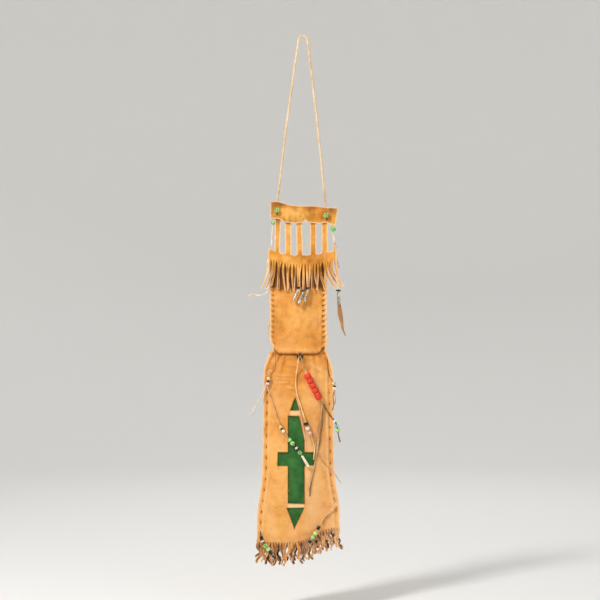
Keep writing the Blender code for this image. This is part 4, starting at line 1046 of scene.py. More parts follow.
# %% Wool
wool = Finish("green_wool", 1.0, {"Sheen Weight": 0.3, "Specular IOR Level": 0.1})
wool_clouds, wool_hairs = wool.grain(60.0, 4.0, 0.6), wool.grain(1300.0, 4.0, 0.7, (1.0, 1.0, 0.45))
wool_base = wool.ramp(wool_clouds, (0.3, (0.014, 0.082, 0.018)), (0.7, (0.052, 0.180, 0.042)))
wool_fuzz = wool.ramp(wool_hairs, (0.3, (0.60, 0.66, 0.60)), (0.65, (1.15, 1.15, 1.1)))
wool_finish = wool.dress(wool.blend("MULTIPLY", 0.9, wool_base, wool_fuzz), (wool_hairs, 0.0004, 0.6))

# %% Inlay cloth
CLOTH_COLUMNS = 40
CLOTH_START, CLOTH_SPAN, BAG_SPAN = 3.85, 13.3, 22  # in parts of the bag's width
cloth_rows = [row for row in rows if FOLD - FOLD_REACH - 0.001 >= row[0] > HEM + 0.0145]


def cloth_point(column, row):
    across = mix(-1, 1, (CLOTH_START + CLOTH_SPAN * column / CLOTH_COLUMNS) / BAG_SPAN)
    x, z = x_and_z(across, row[0])
    proud = soft(x, z, 0.0009) - HIDE / 2 - GAP - CLOTH / 2
    return Vector((x, -(SKIN - HIDE / 2 + bulge(across, row[0]) + proud), z))


cloth = fringed_sheet("wool_inlay", CLOTH_COLUMNS, cloth_rows, cloth_point)
wall(cloth, CLOTH, 1)
settle(cloth, [wool_finish, wool_finish], "green_cloth", ("green_cloth",))

# %% [markdown]
# ## The slatted yoke
#
# Slats, yoke and upper fringe are one hide, cut four times into windows and all along its foot into
# strips. It hangs free from the cuff, and from the yoke down it lies on the pouch. Three strips in
# the middle and one at the right are narrowed to pass through a bead and into a tin cone.

# %% Slats and yoke
YOKE_STRIPS, YOKE_COLUMNS = 24, 144
YOKE_BEND = YOKE_TOP + 0.0220
SLATS = ((-0.0462, 0.0080), (-0.0270, 0.0108), (-0.0068, 0.0104), (0.0180, 0.0108), (0.0387, 0.0108))


def yoke_y(x, z):
    resting = front_face(x, min(z, MOUTH)) - GAP - HIDE / 2
    return mix(SLAT_PLANE, resting, ease((YOKE_BEND - z) / 0.0220))


def yoke_point(column, row):
    level, rising = row
    x = YOKE_AXIS + YOKE_WIDTH * (column / YOKE_COLUMNS - 0.5)
    z = level + rising * yoke_rise(x)
    sway = 0.0010 * noise_at(x * 55, 2.0, z * 16) * ease((z - YOKE_TOP) / 0.015)
    return Vector((x, yoke_y(x, z) - sway - 0.0003 * noise_at(x * 90, 4.0, z * 90), z))


yoke_rows = [(mix(CUFF_FOOT + 0.0250, YOKE_BEND, i / 44), 0.0) for i in range(44)]
yoke_rows += [(mix(YOKE_BEND, YOKE_FOOT, i / 30), ease(i / 13)) for i in range(31)]

# %% Strips that carry a cone
# strip, how far aside, down and out its bead sits, how its cone tilts, and the cone's length
PENDANT = 23
CARRIERS = {
    10: ("left_cone", (0.0010, 0.0430, 0.0075), -0.42, 0.0210),
    12: ("middle_cone", (-0.0009, 0.0480, 0.0085), -0.36, 0.0210),
    13: ("right_cone", (0.0020, 0.0435, 0.0075), -0.27, 0.0210),
    PENDANT: ("pendant_cone", (0.0057, 0.0478, 0.0060), 0.06, 0.0220),
}


def strip_root(strip):
    x = YOKE_AXIS + YOKE_WIDTH * ((strip + 0.5) / YOKE_STRIPS - 0.5)
    z = YOKE_FOOT + yoke_rise(x)
    return Vector((x, yoke_y(x, z), z))


def carrier_route(strip):
    """From the yoke through the bead into the cone, and the way the cone points."""
    _, (aside, drop, height), tilt, _ = CARRIERS[strip]
    root = strip_root(strip)
    where = over(root.x + aside, YOKE_FOOT - drop, height)
    above, knot = where + Vector((0.0, 0.0, 0.0032)), where - Vector((0.0, 0.0, 0.0025))
    axis = Vector((math.sin(tilt), 0.0, -math.cos(tilt)))
    return [root, root.lerp(above, 0.30), root.lerp(above, 0.75), above, knot, knot + axis * 0.0060], axis


# %% Upper fringe
def upper_strips():
    """For each strip: its length, splay, bow, lift, twist, width, hook and tone."""
    chance = random.Random(5)
    made = []
    for strip in range(YOKE_STRIPS):
        place = (strip + 0.5) / YOKE_STRIPS * 2 - 1
        made.append({
            "length": 0.0520 * (0.95 + 0.06 * math.sin(2.4 * strip) + chance.uniform(-0.04, 0.06)),
            "splay": 0.0085 * place**3 + chance.uniform(-0.0042, 0.0042),
            "bow": chance.uniform(-0.0024, 0.0024), "lift": (0.0010, 0.0040, 0.0024, 0.0056)[strip * 5 % 4],
            "twist": chance.uniform(-1.15, 1.15), "width": chance.uniform(0.0033, 0.0042), "hook": 0.0,
            "tone": chance.uniform(-0.65, 0.50),
        })
    # the strips that stand out on the real fringe
    made[0].update(splay=-0.0120, length=0.0530, bow=0.0010)
    made[1].update(splay=-0.0085, length=0.0540)
    made[18].update(splay=0.0060, length=0.0500, bow=-0.0020)
    made[19].update(splay=0.0015, length=0.0520, bow=0.0026, lift=0.0060, hook=0.0075)
    made[20].update(splay=0.0125, length=0.0490, bow=-0.0024, twist=0.5)
    made[21].update(splay=0.0150, length=0.0510, bow=-0.0032, twist=-0.5, lift=0.0046)
    made[22].update(splay=0.0165, length=0.0490, bow=-0.0040, twist=0.6, lift=0.0020)
    return made


UPPER = upper_strips()


def upper_middle(strip, share):
    if strip in CARRIERS:
        line = smooth(carrier_route(strip)[0], 6)
        return line[min(int(share * (len(line) - 1) + 0.5), len(line) - 1)]
    n, root = UPPER[strip], strip_root(strip)
    x = root.x + n["splay"] * share**1.6 + n["bow"] * math.sin(math.pi * share * 1.4)
    x += n["hook"] * ease((share - 0.6) / 0.4) ** 1.5
    z = root.z - n["length"] * share + abs(n["hook"]) * 0.35 * ease((share - 0.7) / 0.3)
    resting = front_face(max(min(x, 0.0420), -0.0590), z) - GAP - HIDE / 2
    lift = n["lift"] * ease(share * 2) * (0.6 + 0.4 * share)
    return Vector((x, mix(root.y, resting, ease(share * 3)) - lift, z))


def upper_strip_point(strip, share, part):
    n = UPPER[strip]
    along = upper_middle(strip, min(share + 0.04, 1.0)) - upper_middle(strip, max(share - 0.04, 0.0))
    width = mix(YOKE_WIDTH / YOKE_STRIPS - 0.0003, n["width"] * (1.0 - 0.22 * share), ease(share / 0.32))
    twist = n["twist"] * ease(share * 1.3)
    if strip in CARRIERS:
        width, twist = mix(min(width, 0.0044), 0.0020, ease((share - 0.35) / 0.25)), 0.0
    return across_strip(upper_middle(strip, share), along, twist, width, part, 0.0004 * ease(share * 4))


UPPER_SHARES = [0.03, 0.07, 0.12] + [0.12 + 0.88 * i / 18 for i in range(1, 19)]
yoke = fringed_sheet("slat_sheet", YOKE_COLUMNS, yoke_rows, yoke_point, YOKE_STRIPS, upper_strip_point,
                     UPPER_SHARES, tones_of(UPPER, 0.0, 0.60))


# %% Windows between the slats
def slat_windows():
    """Between each two slats, from behind the cuff down to the yoke's curved edge."""
    top = CUFF_FOOT + 0.0130
    bends = ((0.0026, 0.0004), (0.0, 0.0006), (-0.0004, 0.0010), (0.0006, 0.0), (0.0, 0.0004))
    slats, loops = list(zip(SLATS, bends)), []
    for ((x1, width1), (bend1, foot1)), ((x2, width2), (bend2, foot2)) in zip(slats, slats[1:]):
        left, right = x1 + width1 / 2, x2 - width2 / 2
        rise1, rise2 = YOKE_TOP + yoke_rise(left), YOKE_TOP + yoke_rise(right)
        dip = min(min(rise1, rise2) - 0.0006, (rise1 + rise2) / 2 - 0.0004)
        loops.append([(left + bend1, top), (left + foot1, rise1), (mix(left, right, 0.5), dip),
                      (right + foot2, rise2), (right + bend2, top)])
    return loops


def beside_slats():
    """What is cut away beside the outer slats, down to the two ears of the yoke."""
    top, loops = CUFF_TOP + 0.002, []
    sides = ((-1, SLATS[0], 0.0105, 0.34), (1, SLATS[-1], 0.0165, 0.58))
    for side, (slat_x, slat_width), ear, start in sides:
        edge, corner = slat_x + side * slat_width / 2, YOKE_AXIS + side * YOKE_WIDTH / 2
        foot, tip = YOKE_TOP + yoke_rise(edge), YOKE_TOP + ear
        shares = (start, start + 0.02, 0.88, 0.90, 0.99)
        first, second, third, fourth, last = (mix(edge, corner, share) for share in shares)
        loops += [
            [(edge, top), (edge, foot), (second, foot if side > 0 else tip - 0.0006), (second, top)],
            [(first, top), (first, tip - 0.0004), (fourth, tip + 0.0004), (fourth, top)],
            [(third, top), (third, tip), (last, YOKE_TOP), (corner + side * 0.0006, YOKE_TOP - HIDE),
             (corner + side * 0.004, YOKE_TOP - HIDE), (corner + side * 0.004, top)],
        ]
    return loops


# %% Marks of the yoke and the cuff
def smoke_on_yoke(spot):
    """Paler slats, and browner patches on the cuff and the yoke."""
    slats = 0.10 * ease((spot.z - YOKE_TOP - 0.004) / 0.012) * ease((CUFF_FOOT + 0.004 - spot.z) / 0.010)
    patch = noise_at(spot.x * 48, 3.0, spot.z * 55) + 0.45 * noise_at(spot.x * 190, 8.0, spot.z * 85)
    fringe = -0.10 * ease((YOKE_FOOT - spot.z) / 0.012)
    plain = -0.30 if spot.z > CUFF_FOOT else -0.04
    return slats + fringe + (0.3 if YOKE_TOP <= spot.z <= CUFF_FOOT else 0.60) * patch + plain


def rims_of_yoke(spot):
    foot = YOKE_FOOT + yoke_rise(spot.x)
    if spot.z < foot + 0.004 and abs(spot.x - YOKE_AXIS) < YOKE_WIDTH / 2 - 0.002:
        return 0.0012, 0.90 * ease((foot - 0.008 - spot.z) / 0.022)
    return 0.0026, 1.0


cuff_holes = [round_loop(x, z, HANG / 2 + GAP) for x, z in CUFF_HOLES]
cut_out(yoke, *slat_windows(), *beside_slats(), *cuff_holes)
wall(yoke, HIDE, 1)
settle(yoke, [yoke_finish, edge_finish], "hide", ("slat_yoke",))
mark_sheet(yoke, smoke_on_yoke, rims_of_yoke)

# %% [markdown]
# ## The cuff
#
# A second strip of hide lies over the heads of the slats. It was cut by eye: its foot is scalloped
# and its head dips to the right. It is one grid whose rows run between those two edges. A band
# that is cut on the bias curls a little at its long edges, so the edges stand off by a hair.

# %% Cuff
CUFF_COLUMNS, CUFF_ROWS = 130, 36
CUFF_HEADS = [(CUFF_LEFT + x, CUFF_TOP + z) for x, z in mm((
    (0.2, 3.6), (6, 4.1), (11.7, 3.9), (22.5, 1.2), (35.1, -2.4), (53.1, -4.2), (80.1, -4.2), (99.9, -6.9),
    (121.4, -8)))]
CUFF_FEET = [(CUFF_LEFT + x, CUFF_FOOT + z) for x, z in mm((
    (-0.2, 10.5), (1.2, 8.6), (14, 7.8), (20, 5.5), (25, 1.8), (34, 0.6), (44, -0.6), (58.5, 1), (63.5, 5.4),
    (68.5, 0.8), (76, 0.4), (89, -0.6), (97, 1.2), (106.2, -1), (109.2, -4.4), (116, -4.5), (117.4, -1.2)))]


def along_edge(edge_points, share):
    """A point that share of the way along an edge, by x."""
    x = mix(edge_points[0][0], edge_points[-1][0], share)
    for (x1, z1), (x2, z2) in zip(edge_points, edge_points[1:]):
        if x <= x2:
            return x, mix(z1, z2, (x - x1) / (x2 - x1))
    return edge_points[-1]


def cuff_point(column, row):
    share = column / CUFF_COLUMNS
    (top_x, top_z), (foot_x, foot_z) = along_edge(CUFF_HEADS, share), along_edge(CUFF_FEET, share)
    x, z = mix(top_x, foot_x, row), mix(top_z, foot_z, row)
    curl = 0.0009 * (ease((row - 0.80) / 0.2) + 1.2 * ease((0.16 - row) / 0.16))
    return Vector((x, CUFF_PLANE - curl - 0.0003 + 0.00035 * noise_at(x * 45, 7.0, z * 30), z))


cuff = fringed_sheet("cuff_strip", CUFF_COLUMNS, [i / CUFF_ROWS for i in range(CUFF_ROWS + 1)], cuff_point)
cut_out(cuff, *cuff_holes)
wall(cuff, HIDE, 1)
settle(cuff, [yoke_finish, edge_finish], "hide", ("cuff",))
mark_sheet(cuff, smoke_on_yoke, rims_of_yoke)

# %% [markdown]
# ## Beads
#
# Most beads are pressed or drawn glass about nine millimetres across: a thick ring with rounded
# shoulders and a hole that the thong fills. A torus is nearly that. It is stretched along its axis
# in edit mode, and its shoulders are squared a little. Each sits where the CAD has its bead, turned
# to the thong that runs through it.

# %% Glass
def glass(name, deep, bright, rough=0.10, cloud=220.0, coat=0.6):
    """Coloured glass: clouds of a deeper and a brighter colour, with a clear coat for its gloss."""
    made = Finish(name, rough, {"Coat Weight": coat, "Coat Roughness": 0.04, "IOR": 1.5})
    colour = made.ramp(made.grain(cloud, 3.0, 0.6), (0.35, deep), (0.62, bright))
    return made.dress(colour, (made.grain(500.0, 2.0), 0.0002, 0.15))


def metal(name, dark, bright, rough):
    """Tin or brass: tarnish in clouds, with scratches that roughen it."""
    made = Finish(name, rough, {"Metallic": 1.0})
    colour = made.ramp(made.grain(160.0, 5.0, 0.65), (0.3, dark), (0.65, bright))
    scratches = made.grain(900.0, 3.0, 0.6, (1.0, 1.0, 0.2))
    span = made.add("MapRange", {"To Min": rough - 0.08, "To Max": rough + 0.20, "Value": scratches})
    made.fill(made.shader, {"Roughness": span.outputs["Result"]})
    return made.dress(colour, (scratches, 0.0001, 0.25))


tin_finish = metal("tin", (0.22, 0.18, 0.13), (0.95, 0.89, 0.75), 0.26)
bone_finish = glass("cream_bone", (0.66, 0.60, 0.34), (0.84, 0.80, 0.60), 0.35, 150.0)
green_glass = glass("green_glass", (0.030, 0.25, 0.04), (0.42, 0.80, 0.24), 0.08, 260.0)
lime_glass = glass("lime_glass", (0.30, 0.55, 0.10), (0.66, 0.86, 0.34))
BEADS = {
    "green": (green_glass, "green_bead"),
    "lime": (lime_glass, "green_bead"),
    "yellow": (lime_glass, "yellow_bead"),
    "blue": (glass("blue_green_glass", (0.05, 0.35, 0.32), (0.35, 0.72, 0.62)), "green_bead"),
    "black": (glass("black_glass", (0.002, 0.002, 0.003), (0.008, 0.007, 0.009), 0.06, coat=0.20),
              "black_bead"),
    "white": (glass("white_glass", (0.62, 0.58, 0.52), (0.85, 0.83, 0.78), 0.14), "white_bead"),
    "pink": (glass("pink_glass", (0.62, 0.30, 0.24), (0.85, 0.60, 0.54), 0.14), "pink_bead"),
    "red": (glass("red_glass", (0.60, 0.018, 0.004), (0.82, 0.050, 0.010), 0.50, 90.0, 0.08), "red_bead"),
    "gold": (metal("gold", (0.62, 0.43, 0.16), (0.98, 0.84, 0.46), 0.30), "gold_bead"),
}


# %% Bead maker
def ring_bead(name, where, along, width, length, hole, kind, nodes=(), square=0.80):
    """A ring of glass: square below one makes its shoulders fuller."""
    tube = (width - hole) / 4
    piece = base_shape(name, bpy.ops.mesh.primitive_torus_add, major_segments=28, minor_segments=14,
                       major_radius=(width + hole) / 4, minor_radius=tube)
    in_edit_mode(piece, (bpy.ops.transform.resize, {"value": (1.0, 1.0, length / (2 * tube))}))
    for vertex in piece.data.vertices:
        share = vertex.co.z / (length / 2)
        vertex.co.z = math.copysign(abs(share) ** square, share) * length / 2
    aim(piece, where, along)
    return settle(piece, *BEADS[kind], nodes)


def middle_of(node):
    low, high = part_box(node)
    return (Vector(low) + Vector(high)) / 2


def nearest(line, where):
    return min(range(len(line)), key=lambda i: (line[i] - where).length)


# %% Strung beads
# thong, bead, kind, width and length in millimetres, and where they differ hole, way and shoulders
STRUNG = (
    ("hanging_lace", "left_cuff_bead", "green", 9.8, 6.2, 4.2, FRONT),
    ("hanging_lace", "right_cuff_bead", "green", 9.8, 6.2, 4.2, FRONT),
    ("left_side_lace", "left_side_bead", "green", 8.0, 6.0, 3.4),
    ("right_side_lace", "right_side_bead", "green", 10.2, 8.5, 3.4),
    ("centre_lace", "neck_bead", "black", 11.2, 7.0, 5.6, FRONT),
    ("centre_lace", "centre_black_bead", "black", 9.2, 5.6),
    ("centre_lace", "centre_white_bead", "white", 8.2, 5.6),
    ("centre_lace", "centre_pink_bead", "pink", 7.8, 5.6),
    ("red_bead_lace", "red_bead_1", "red", 12.6, 9.4, 3.4, None, 0.62),
    ("red_bead_lace", "red_bead_2", "red", 12.6, 9.0, 3.4, None, 0.62),
    ("red_bead_lace", "red_bead_3", "red", 12.6, 9.0, 3.4, None, 0.62),
    ("red_bead_lace", "red_bead_4", "red", 12.6, 9.2, 3.4, None, 0.62),
    ("red_bead_lace", "red_bead_5", "red", 12.6, 14.0, 3.4, None, 0.62),
    ("dark_lace", "tail_white_bead", "white", 6.0, 4.0),
    ("dark_lace", "tail_blue_bead", "blue", 8.0, 5.2),
    ("dark_lace", "tail_yellow_bead", "yellow", 8.0, 5.2),
    ("left_lace", "left_gold_bead", "gold", 8.0, 5.6),
    ("left_lace", "left_pink_bead", "pink", 7.0, 5.2),
    ("left_lace", "drop_gold_bead", "gold", 7.8, 5.6),
    ("left_lace", "drop_white_bead", "white", 6.0, 5.2),
    ("left_lace", "drop_green_bead_1", "green", 8.0, 6.4),
    ("left_lace", "drop_green_bead_2", "green", 8.2, 6.4),
    ("left_lace", "drop_green_bead_3", "green", 7.4, 6.4),
    ("right_lace", "right_gold_bead", "gold", 8.2, 5.6),
    ("right_lace", "right_white_bead", "white", 6.0, 4.8),
    ("bottom_left_lace", "bottom_left_black_bead", "black", 6.4, 8.0),
    ("bottom_left_lace", "bottom_left_green_bead", "green", 8.4, 6.6),
    ("bottom_left_lace", "bottom_left_pale_bead", "lime", 8.0, 6.2),
    ("bottom_right_lace", "bottom_right_black_bead", "black", 6.4, 8.0),
    ("bottom_right_lace", "bottom_right_yellow_bead", "yellow", 8.4, 6.2),
    ("bottom_right_lace", "bottom_right_green_bead", "green", 8.6, 6.2),
    ("bottom_right_lace", "bottom_right_dark_bead", "black", 6.4, 6.0),
)


def string_bead(lace_name, node, kind, width, length, hole=2.7, way=None, square=0.80):
    """A bead on a thong, in the place of its CAD node and, if no way is given, along the thong."""
    line, where = LACES[lace_name][1], middle_of(node)
    way = way or run_at(line, nearest(line, where), 2, 2)
    piece = ring_bead(node + "_glass", where, way, width / 1000, length / 1000, hole / 1000, kind,
                      (node,), square)
    LACES[lace_name][3].append(piece)


for row in STRUNG:
    string_bead(*row)

# %% [markdown]
# The long string at the left has three small beads in a row between its green ones, and a thin
# spacer here and there on the other thongs. They are the same ring, made small.

# %% Small beads and spacers
# thong, bead, the CAD node they start from, how far after its middle, and (kind, width, length) of each
SMALL = (
    ("left_lace", "drop_small_bead", "drop_small_beads", -5.5,
     (("black", 6.0, 3.4), ("white", 5.8, 3.6), ("black", 6.0, 3.4))),
    ("left_lace", "left_spacer", "left_gold_bead", 3.1, (("black", 5.6, 2.4),)),
    ("left_lace", "drop_spacer", "drop_gold_bead", 3.1, (("black", 5.6, 2.2),)),
    ("right_lace", "right_spacer", "right_gold_bead", 3.1, (("black", 5.6, 2.4),)),
    ("bottom_left_lace", "bottom_left_white_bead", "bottom_left_black_bead", 4.3, (("white", 5.8, 3.4),)),
    ("bottom_left_lace", "bottom_left_end_bead", "bottom_left_pale_bead", 3.3,
     (("black", 6.2, 3.6), ("black", 6.0, 3.6))),
)


def string_small(lace_name, name, node, after, beads):
    """Small beads in a row along a thong; those that a CAD node of their own stands for replace it."""
    line = LACES[lace_name][1]
    step = length_of(line) / (len(line) - 1)
    start = nearest(line, middle_of(node)) * step + after / 1000
    for number, (kind, width, length) in enumerate(beads):
        spot = (start + length / 2000) / step
        low = min(int(spot), len(line) - 2)
        where = line[low].lerp(line[low + 1], spot - low)
        nodes = (node,) if number == 0 and node == name + "s" else ()
        piece = ring_bead(f"{name}_{number + 1}", where, run_at(line, low, 1, 2), width / 1000,
                          length / 1000, 0.0026, kind, nodes)
        LACES[lace_name][3].append(piece)
        start += length / 1000 + 0.0001


for row in SMALL:
    string_small(*row)

# %% [markdown]
# ## Tin cones
#
# A tinkler is cut from sheet tin and rolled into a cone, so it has an overlapping seam. A flat grid
# is rolled the same way: its columns run a little more than once round, and each turn lies just
# outside the one before. The long cream cone on the left string is turned bone with a hole.

# %% Cones
def rolled_cone(name, top, mouth, top_width, mouth_width, thick, finish, slot, node, seam=0.0):
    """A cone from its narrow end to its mouth."""
    piece = base_shape(name, bpy.ops.mesh.primitive_grid_add, x_subdivisions=48, y_subdivisions=10, size=2.0)
    length, whole = (mouth - top).length, math.tau + 0.7
    for vertex in piece.data.vertices:
        turn, down = (vertex.co.x + 1) / 2 * whole, (1 - vertex.co.y) / 2
        radius = mix(top_width, mouth_width, down**1.1) / 2 - thick * 0.5
        radius -= thick * 1.3 * ease((whole - turn) / whole - 0.05)
        radius += 0.00012 * math.sin(3 * turn + 9 * down)
        vertex.co = (radius * math.cos(turn + seam), radius * math.sin(turn + seam), -down * length)
    wall(piece, thick)
    aim(piece, top, top - mouth)
    return settle(piece, finish, slot, (node,), 40.0)


for strip, (name, _, _, length) in CARRIERS.items():
    route, axis = carrier_route(strip)
    above, knot = route[3:5]
    top = knot + axis * 0.0010
    sizes = (0.0050, 0.0076, 0.0090) if strip == PENDANT else (0.0042, 0.0066, 0.0058)
    narrow, mouth, bead = sizes
    rolled_cone(name + "_tin", top, top + axis * length, narrow, mouth, 0.0004, tin_finish, "tin", name,
                strip * 1.3)
    where = (above + knot) / 2 - Vector((0.0, 0.0, 0.00035))
    ring_bead(name + "_bead_glass", where, (0.0, 0.0, 1.0), bead, 0.0034, 0.0030, "black", (name + "_bead",))

left_line, cone_middle = LACES["left_lace"][1], middle_of("drop_cone")
half_cone = run_at(left_line, nearest(left_line, cone_middle), 2, 2) * 0.0115
LACES["left_lace"][3].append(rolled_cone(
    "drop_cone_bone", cone_middle - half_cone, cone_middle + half_cone, 0.0050, 0.0068, 0.0007, bone_finish,
    "cream_cone", "drop_cone"))

# %% [markdown]
# ## The leaf
#
# Below the right-hand cone hangs a leaf of hide, cut like a willow's: it widens from its throat and
# runs out to a point, and it has dried with a slight roll.

# %% Leaf
LEAF_COLUMNS = 8
pendant_route, pendant_axis = carrier_route(PENDANT)
leaf_start = pendant_route[4] + pendant_axis * 0.0230
# how far down the leaf, how far aside, and how wide it is there
leaf_stations = smooth(mm((
    (-5, 0, 4), (1, 0, 5.8), (14, 0.6, 8.4), (28, 2.2, 6.4), (43, 3.8, 3.2), (56, 8, 1.2))))


def leaf_point(column, station):
    part, (down, aside, width) = column / LEAF_COLUMNS * 2 - 1, station
    roll = 0.0012 * part * part * ease((down + 0.002) / 0.03) * min(width / 0.0060, 1.0)
    beside = Vector((aside + part * width / 2, roll + 0.0006 * math.sin(down * 160), 0.0))
    return leaf_start + pendant_axis * down + beside


leaf = fringed_sheet("hide_leaf", LEAF_COLUMNS, leaf_stations, leaf_point)
wall(leaf, 0.0014, 1)
settle(leaf, [leaf_finish, leaf_finish], "hide", ("pendant_leaf",))

# %% [markdown]
# ## Tails and loose strands
#
# The thongs end in thin tails that were left long, and one lacing end shows behind the left edge.
# They are cut from the same hide but half as wide. Each starts on a thong or at the hide.

# %% Tails
# tail, width, finish, and its points: x, z and height over the front hide (1 if not given)
TAILS = (
    ("centre_tail", 2.2, lace_finish, (
        (-11.4, -600, 2.2), (-12.6, -626), (-5.4, -671.4), (0, -698.4), (4.5, -725.4, 1.2), (6, -733))),
    ("bundle_tail_1", 1.5, tail_finish, (
        (34.9, -664, 5.6), (33, -683, 3.4), (28.8, -718), (24, -756), (18, -790), (8.5, -812))),
    ("bundle_tail_2", 1.4, dark_finish, (
        (35.2, -664.6, 5), (35.5, -685, 3), (31.2, -724, 2), (22.5, -762, 2), (15, -801, 2), (12, -826))),
    ("bundle_tail_3", 1.4, tail_finish, (
        (34.6, -665, 6), (31, -690, 4), (26.2, -712, 2.6), (25, -744, 2.6), (19.8, -772, 2.6))),
    ("long_tail", 1.5, tail_finish, (
        (17.1, -708, 3), (21.5, -729, 3.2), (28.3, -749.9, 3), (40.3, -769.1, 1.4), (53.5, -781.2, 1.2),
        (64.4, -796.9, 2), (68.6, -802, 3))),
    ("bead_tail", 1.5, tail_finish, ((15, -718, 3), (16, -728, 2.6), (20.5, -738, 1.6), (23.2, -750, 1))),
    ("right_tail", 1.5, dark_finish, ((55.2, -638, 3.4), (54, -648, 2), (55.2, -660, 1.2), (53, -672, 1))),
    ("left_tie_root", 1.5, tail_finish, (
        (-52, -566, 2), (-50.8, -578, 2), (-52, -593, 1.8), (-56.8, -603.5, 1.6), (-59.8, -606.2, 2.4))),
    ("right_tie_root", 1.4, dark_finish, (
        (43.8, -580, 0.8), (44.4, -595), (46.6, -608), (50.6, -616.8), (54.2, -619.6, 2.4))),
    ("bottom_second_strand", 1.5, tail_finish, (
        (61.8, -848, 1), (54, -855.6), (45.5, -860.6), (38, -868), (33.8, -876, 2))),
)

for name, width, finish, points in TAILS:
    route = [over(x, z, height[0] if height else 0.0010) for x, z, *height in mm(points)]
    lace(name, route, width / 1000, width / 1000 * 0.62, finish, twist=2.0, tip=0.45)


# %% Lacing ends beside the bag
def strand(route, parts, width, thick, sides, tip=0.75):
    return sweep(smooth(route, parts), width, thick, 0.3, sides, tip=tip)


stray = mm(((-72.2, -1.2, -780), (-76.2, -1.6, -779), (-80, -1.8, -774.6), (-84.6, -2, -770.4)))
shoulder = mm(((-54, -3, -557.6), (-57.6, -4, -560.4), (-60.6, -3.6, -565.2), (-61.8, -2.4, -570.4)))
strays = [strand(stray, 8, 0.0010, 0.0008, 6), strand(shoulder, 8, 0.0013, 0.0009, 6)]
settle(mesh_piece("stray_threads", strays), bleached_finish, "pale_thong")

# short thong tips below the cuff beads, in the dark finish as painted shade of the holes they go into
tip_route = mm(((0, -2.2, -3.6), (0.2, -2.6, -5.6), (0.6, -1.8, -8.4)))
tips = [strand([(x + aside, CUFF_PLANE + y, z + up) for aside, y, up in tip_route], 5, 0.0022, 0.0014, 8, 0.4)
        for x, z in CUFF_HOLES]
settle(mesh_piece("cuff_hole_shade_tips", tips), dark_finish, "dark_thong")

neck_x, neck_z = HOLES["neck"]
loop_points = mm(((0.8, 1.4, 8.4), (2, 3, 9.4), (4.2, 5.6, 8), (5.8, 7, 5.2), (6.6, 6.6, 2.6)))
loops = [strand([over(neck_x + side * aside, neck_z + up, height) for aside, up, height in loop_points],
                5, 0.0010, 0.0007, 8) for side in (-1, 1)]
settle(mesh_piece("neck_bead_loops", loops), tail_finish, "pale_thong")

lace("side_lacing_end", mm(((-60.7, -0.6, -512.5), (-61.8, -0.8, -526), (-64, -0.2, -540), (-63, 0.6, -549))),
     0.0016, 0.0011, lace_finish)
lace("right_side_strand", mm(((52.8, -7.2, -349), (56, -6.4, -362), (58, -5.2, -372), (59.6, -4, -381))),
     0.0020, 0.0013, bleached_finish)

# %% [markdown]
# ## Stitches
#
# The pouch is whipped together: the thread comes out of the front hide, goes round the edge and
# into the back, a little lower each time. Down the lower bag a running stitch shows as short brown
# dashes in the margin. One stitch is a short sweep, and each seam is one piece.

# %% Whipped and running seams
THREAD_SIDES = 6


def dark_ends(piece, rings, into_front):
    """Marks the first part of each stitch with painted shade, where it goes down into its awl hole."""
    tone = []
    for count in rings:
        for ring in range(count):
            share = ring / (count - 1)
            tone += [-ease((into_front - share) / 0.06)] * THREAD_SIDES
    piece.data.attributes.new("tone", "FLOAT", "POINT").data.foreach_set("value", tone)


def whip_stitch(side, level, chance):
    """Round the edge from front to back."""
    inset = 0.0076 + chance.uniform(-0.0008, 0.0008)
    places = ((inset, -SKIN + 0.0010, 0.0), (inset - 0.0010, -SKIN + 0.0002, 0.0007),
              (0.0036, -SKIN - 0.0009, 0.0026), (0.0012, -SKIN * 0.95, 0.0040), (0.0005, 0.0, 0.0046),
              (0.0012, SKIN * 0.85, 0.0052), (0.0036, SKIN + 0.0003, 0.0066), (inset, SKIN - 0.0004, 0.0088))
    edge = beside_edge(side, level, 0.0)
    route = [(edge - side * aside, y, level + up) for aside, y, up in places]

    def width(share):
        return 0.0011 + (0.0007 + 0.0004 * side) * ease((0.20 - share) / 0.06)
    return sweep(evenly(smooth(route, 4), 0.0008), width, 0.0009, 0.4, THREAD_SIDES, 0.0)


def dash(place, side, level, length, chance):
    """A stitch of the running seam, sunk at both ends, on the front or on the back."""
    tilt = chance.uniform(-0.35, 0.35)
    length *= chance.uniform(0.8, 1.2)
    route = []
    for share, proud in ((-0.5, -0.0012), (-0.32, -0.0002), (0.0, 0.0002), (0.32, -0.0002), (0.5, -0.0012)):
        x = beside_edge(side, level, RUN_INSET) + share * length * tilt
        route.append(place(x, level + share * length, proud))
    return sweep(smooth(route, 2), 0.0014, 0.0009, 0.0, THREAD_SIDES, 0.0)


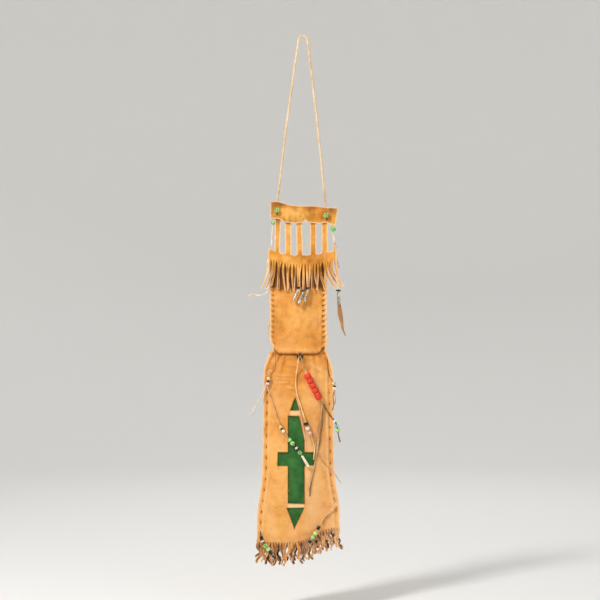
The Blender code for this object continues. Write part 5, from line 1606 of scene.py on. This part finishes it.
# the dark mark colour of the two whip threads is painted shade, read where each stitch goes into its awl hole
stitch_finish = suede("stitch_thread", (0.40, 0.17, 0.035), (0.56, 0.26, 0.062), (0.72, 0.38, 0.12), 0.5, 90.0,
                      ((0.030, 0.010, 0.003), (0.9, 0.6, 0.3), (0.9, 0.6, 0.3)))
faint_finish = suede("faint_thread", (0.46, 0.20, 0.045), (0.64, 0.31, 0.080), (0.80, 0.46, 0.17), 0.5, 90.0,
                     ((0.110, 0.036, 0.008), (0.9, 0.6, 0.3), (0.9, 0.6, 0.3)))
seam_finish = suede("seam_thread", (0.120, 0.044, 0.012), (0.19, 0.075, 0.022), (0.28, 0.12, 0.040), 0.5, 90.0)
for side, name, whip_finish, count in ((-1, "left", faint_finish, 13), (1, "right", stitch_finish, 11)):
    chance = random.Random(31 + side)
    stitches = [whip_stitch(side, WHIP_START - WHIP_PITCH * i, chance) for i in range(16)]
    seam = mesh_piece(f"{name}_whip_seam", stitches)
    dark_ends(seam, [len(verts) // THREAD_SIDES for verts, faces in stitches], 0.145 + 0.025 * side)
    settle(seam, whip_finish, "pale_thong")
    levels = [RUN_START - RUN_PITCH[side] * i + chance.uniform(-0.001, 0.001) for i in range(count)]
    dashes = [dash(over, side, level, 0.0033, chance) for level in levels]
    settle(mesh_piece(f"{name}_running_seam", dashes), seam_finish, "dark_thong")
    dashes = [dash(behind, side, level - RUN_PITCH[side] / 2, 0.0120, chance) for level in levels[:-1]]
    settle(mesh_piece(f"{name}_running_seam_behind", dashes), seam_finish, "dark_thong")

# %% [markdown]
# ## Lengths of the thongs
#
# Each thong's length is worked out from its line, and nothing more is done with it.

# %% Cords
for name, (piece, line, width, beads) in LACES.items():
    round(length_of(line), 4)

# %% [markdown]
# ## Floor and light
#
# The bag hangs free above a pale floor that curves up into a wall all round, so that every view has
# a plain ground. A soft light stands to the left of the camera, a wider and weaker one to the right
# and one behind the bag for its back, and the white world fills in the rest.

# %% Floor
FLAT_REACH, WHOLE_REACH, FLOOR_LEVEL = 2.6, 7.0, -1.03
floor = base_shape("floor", bpy.ops.mesh.primitive_grid_add, x_subdivisions=96, y_subdivisions=24, size=2.0)
for vertex in floor.data.vertices:
    turn, out = (vertex.co.x + 1) * math.pi, (vertex.co.y + 1) / 2 * WHOLE_REACH
    bend = min(max(out - FLAT_REACH, 0.0), math.pi / 2)
    radius = min(out, FLAT_REACH) + math.sin(bend)
    height = 1 - math.cos(bend) + max(0.0, out - FLAT_REACH - math.pi / 2)
    vertex.co = (radius * math.cos(turn), radius * math.sin(turn), height + FLOOR_LEVEL)
in_edit_mode(floor, (bpy.ops.mesh.remove_doubles, {"threshold": 0.0001}),
             (bpy.ops.mesh.normals_make_consistent, {"inside": True}))
bpy.ops.object.shade_smooth()
floor.data.materials.append(Finish("pale_floor", 0.9, {"Base Color": (0.80, 0.79, 0.77, 1.0)}).material)


# %% Light
def soft_light(name, where, size, power):
    data = bpy.data.lights.new(name, "AREA")
    data.shape = "DISK"
    data.size = size
    data.energy = power
    lamp = bpy.data.objects.new(name, data)
    lamp.location = where
    lamp.rotation_euler = (Vector((0.0, 0.0, -0.5)) - Vector(where)).to_track_quat("-Z", "Y").to_euler()
    bpy.context.scene.collection.objects.link(lamp)


soft_light("key", (-1.3, -1.5, 1.2), 0.45, 56.0)
soft_light("fill", (1.6, -2.0, 0.1), 1.4, 8.0)
soft_light("back", (0.4, 2.2, 1.2), 1.4, 18.0)
world = bpy.data.worlds.new("world")
world.use_nodes = True
world.node_tree.nodes["Background"].inputs["Color"].default_value = (1.0, 1.0, 1.0, 1.0)
world.node_tree.nodes["Background"].inputs["Strength"].default_value = 0.50
bpy.context.scene.world = world
bpy.context.scene.view_settings.view_transform = "Standard"
